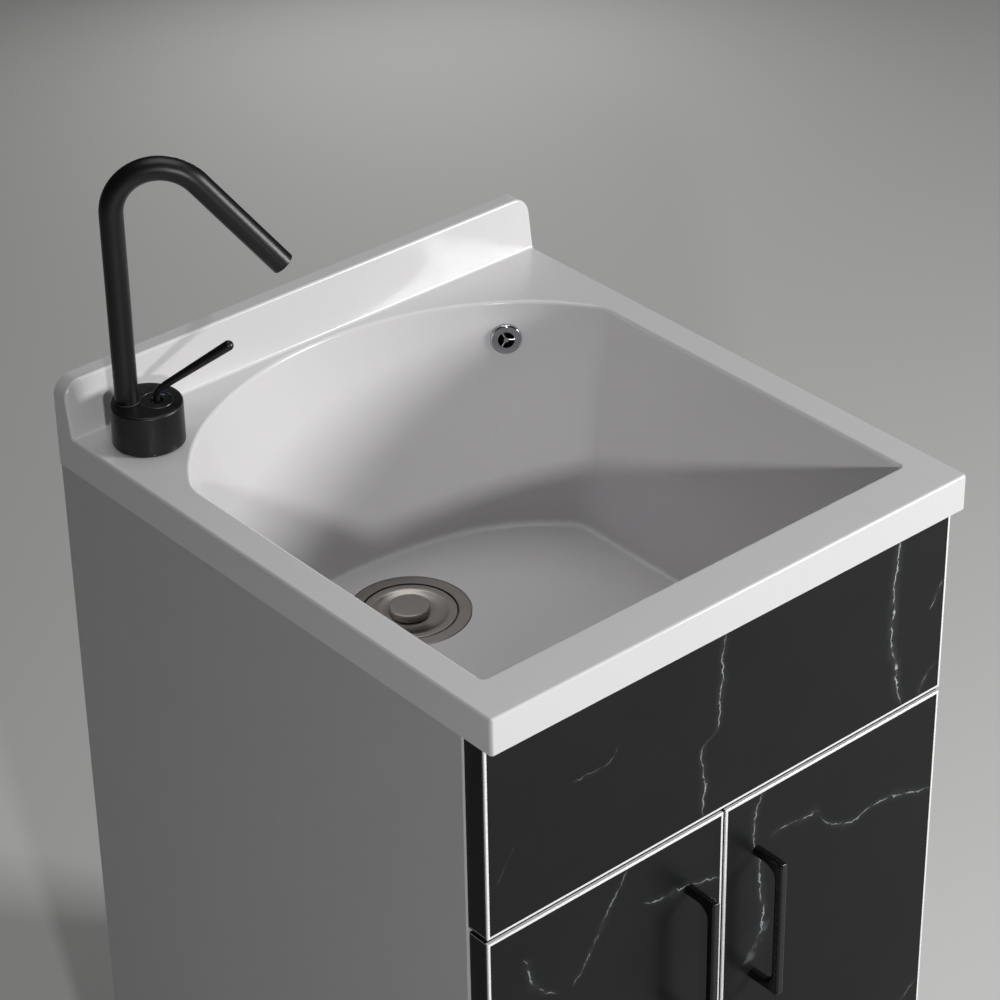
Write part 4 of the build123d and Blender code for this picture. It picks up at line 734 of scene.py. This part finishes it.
def round_ring(name, centre, radius, thickness, finish, arc=(0, 360), flat=1.0):
    """A level ring on the cabinet, or part of one, with a round section that may be flattened."""
    first, sweep = arc[0], arc[1] - arc[0]
    closed = sweep == 360
    count = AROUND if closed else max(LEAST_AROUND, int(AROUND * sweep / 360)) + 1
    form = bmesh.new()
    rows = []
    for i in range(count):
        angle = math.radians(first + sweep * i / (count if closed else count - 1))
        row = []
        for j in range(ABOUT):
            tip = 2 * math.pi * j / ABOUT
            reach = radius + thickness * math.cos(tip)
            row.append(form.verts.new((
                centre[0] + reach * math.cos(angle), centre[1] + reach * math.sin(angle),
                centre[2] + flat * thickness * math.sin(tip),
            )))
        rows.append(row)
    for here, there in zip(rows, rows[1:] + rows[:1] if closed else rows[1:]):
        for j in range(ABOUT):
            k = (j + 1) % ABOUT
            form.faces.new((here[j], there[j], there[k], here[k]))
    if not closed:
        form.faces.new(rows[0])
        form.faces.new(list(reversed(rows[-1])))
    for face in form.faces:
        face.smooth = True
    shape_piece(name, form, finish, "cabinet")


tap_black = new_finish("matt_black_coat", {"Specular IOR Level": 0.6})
coat_grain = grain(tap_black, scale=2600, detail=2.0)
connect(tap_black, "Base Color", tint(tap_black, coat_grain, COAT_DARKER, COAT_LIGHTER))
roughen(tap_black, coat_grain, low=0.33, high=0.43)
relief(tap_black, coat_grain, depth=0.00006, strength=0.6)
for node in ("tap_body", "tap_cap", "spout", "tap_lever"):
    ease(node, tap_black)
coat_with(nylon, "spout_aerator")

disc_edge = mottled(
    "bare_disc_edge", (0.22, 0.22, 0.23), scale=700, spread=0.1, rough=(0.28, 0.42), depth=0.00002, metal=1.0,
)
blue_mark = mottled("blue_mark", (0.13, 0.22, 0.38), scale=900, spread=0.1, rough=(0.3, 0.42), depth=0.00002)
red_mark = mottled("red_mark", (0.16, 0.025, 0.02), scale=900, spread=0.1, rough=(0.3, 0.42), depth=0.00002)
cap_centre = along_spout(CAP_REACH, tap_top_z)
round_ring("cap_edge", cap_centre, EDGE_RADIUS, EDGE_THICK, disc_edge)
round_ring("cold_mark", cap_centre, MARK_RADIUS, COLD_THICK, blue_mark, COLD_ARC, MARK_FLAT)
round_ring("hot_mark", cap_centre, MARK_RADIUS, HOT_THICK, red_mark, HOT_ARC, MARK_FLAT)

# ---------------------------------------------------------------- tap fixings and supply tails
# Under the deck a brass shank, a washer and a nut clamp the tap on a rubber gasket. A plastic cartridge and a
# brass turret carry the lever. Two rigid copper tails run down to loose brass nuts for the supply valves.

SHANK_THREAD_Z = 0.7855

rubber = mottled(
    "black_rubber", (0.022, 0.022, 0.022), scale=380, spread=0.15, rough=(0.52, 0.68), depth=0.00010,
)
coat_with(rubber, "tap_gasket")
spout_foot = along_spout(SPOUT_REACH, tap_top_z + SEAL_LIFT)
round_ring("spout_seal", spout_foot, SEAL_RADIUS, SEAL_THICK, rubber)
brass = mottled(
    "brass", (0.66, 0.47, 0.20), scale=200, spread=0.06, rough=(0.22, 0.38), depth=0.00003, metal=1.0,
    stretch=(1, 1, 14),
)
coat_with(brass, "tap_shank", "tap_nut", "tap_turret", "tail_nuts")
thread(
    "tap_shank_thread", [(tap_x, tap_y, SHANK_THREAD_Z)], radius=0.0154, pitch=0.0015, turns=12, finish=brass,
)
coat_with(zinc, "tap_washer")
grey_plastic = mottled(
    "grey_plastic", (0.50, 0.51, 0.53), scale=300, spread=0.03, rough=(0.34, 0.48), depth=0.00004,
)
coat_with(grey_plastic, "tap_cartridge", "spout_bush")
copper = mottled(
    "copper", (0.72, 0.38, 0.24), scale=90, spread=0.12, rough=(0.22, 0.42), depth=0.00003, metal=1.0,
)
ease("supply_tails", copper)

# ---------------------------------------------------------------- strainer
# A pressed stainless steel cup with a wide flange let into the bowl's floor, its basket with a push-down
# plug, and a loose dished cover with a flat round knob. The steel is turned: its fine lines run in circles.

STEEL_COLOUR = (0.42, 0.39, 0.362)
STAIN_SHARE = 0.86
TURNED_LINES = 5200
LINE_CLIMB = 0.4

steel = new_finish("turned_steel", {"Metallic": 1.0})
stained = tuple(c * STAIN_SHARE for c in STEEL_COLOUR)
drain_x, drain_y, _ = middle_of("cover_plate")
steel_x, steel_y, steel_z = axes_of(steel, place_of(steel, centre=(drain_x, drain_y, 0)))
level = add_node(steel, "ShaderNodeCombineXYZ", {0: steel_x, 1: steel_y}).outputs[0]
from_drain = add_node(steel, "ShaderNodeVectorMath", {0: level}, operation="LENGTH").outputs["Value"]
climb = math_of(steel, "MULTIPLY", steel_z, LINE_CLIMB)
line_place = add_node(steel, "ShaderNodeCombineXYZ", {0: from_drain, 1: climb}).outputs[0]
turned = noise_at(steel, line_place, scale=TURNED_LINES, detail=3.0)
connect(steel, "Base Color", tint(steel, grain(steel, scale=45), stained, STEEL_COLOUR))
roughen(steel, turned, low=0.27, high=0.38)
relief(steel, turned, depth=0.000012, strength=0.4)
for node in ("strainer_body", "cover_plate", "cover_knob"):
    ease(node, steel)
coat_with(steel, "strainer_basket", "plug_post")
coat_with(rubber, "strainer_gasket", "plug_seal")

# ---------------------------------------------------------------- waste and trap
# White polypropylene: a ring nut under the bowl, a tailpiece, a bottle trap that unscrews from below, and the
# arm that runs to the wall. The overflow's pipe comes down to the strainer's side port.

WHITE_PLASTIC = {
    "colour": (0.77, 0.77, 0.76), "scale": 240, "spread": 0.02, "rough": (0.30, 0.45), "depth": 0.00008,
}

white_plastic = mottled("white_polypropylene", **WHITE_PLASTIC)
for node in (
    "strainer_nut", "tailpiece", "tailpiece_nut", "trap_head", "trap_nut", "trap_cup", "waste_arm",
    "waste_arm_nut", "overflow_pipe",
):
    ease(node, white_plastic)

# ---------------------------------------------------------------- overflow
# A small chromed ring with a hub on three spokes, screwed through the arched wall into an elbow of the same
# white plastic. Inside, the elbow carries painted shade: its faces that look back at the ring are painted
# dark, those that face away keep the white.

RING_MIDDLE = (0.1631, 0.1988, 0.7995)
INNER_BLUR = 0.0005
PAINTED_INSIDE_SHADE = (0.012, 0.012, 0.012)

chrome = mottled(
    "chrome", (0.60, 0.61, 0.63), scale=160, spread=0.02, rough=(0.04, 0.09), depth=0.00002, metal=1.0,
)
ease("overflow_ring", chrome)

elbow_plastic = mottled("elbow_polypropylene", **WHITE_PLASTIC)
both = {0: place_of(elbow_plastic, centre=RING_MIDDLE), 1: facing_of(elbow_plastic)}
turned_away = add_node(elbow_plastic, "ShaderNodeVectorMath", both, operation="DOT_PRODUCT").outputs["Value"]
# painted shade: near black on the elbow's faces that look back at the ring, for the dark of the deep hole
cover(elbow_plastic, between(elbow_plastic, turned_away, -INNER_BLUR, INNER_BLUR, 1, 0), PAINTED_INSIDE_SHADE)
ease("overflow_elbow", elbow_plastic)
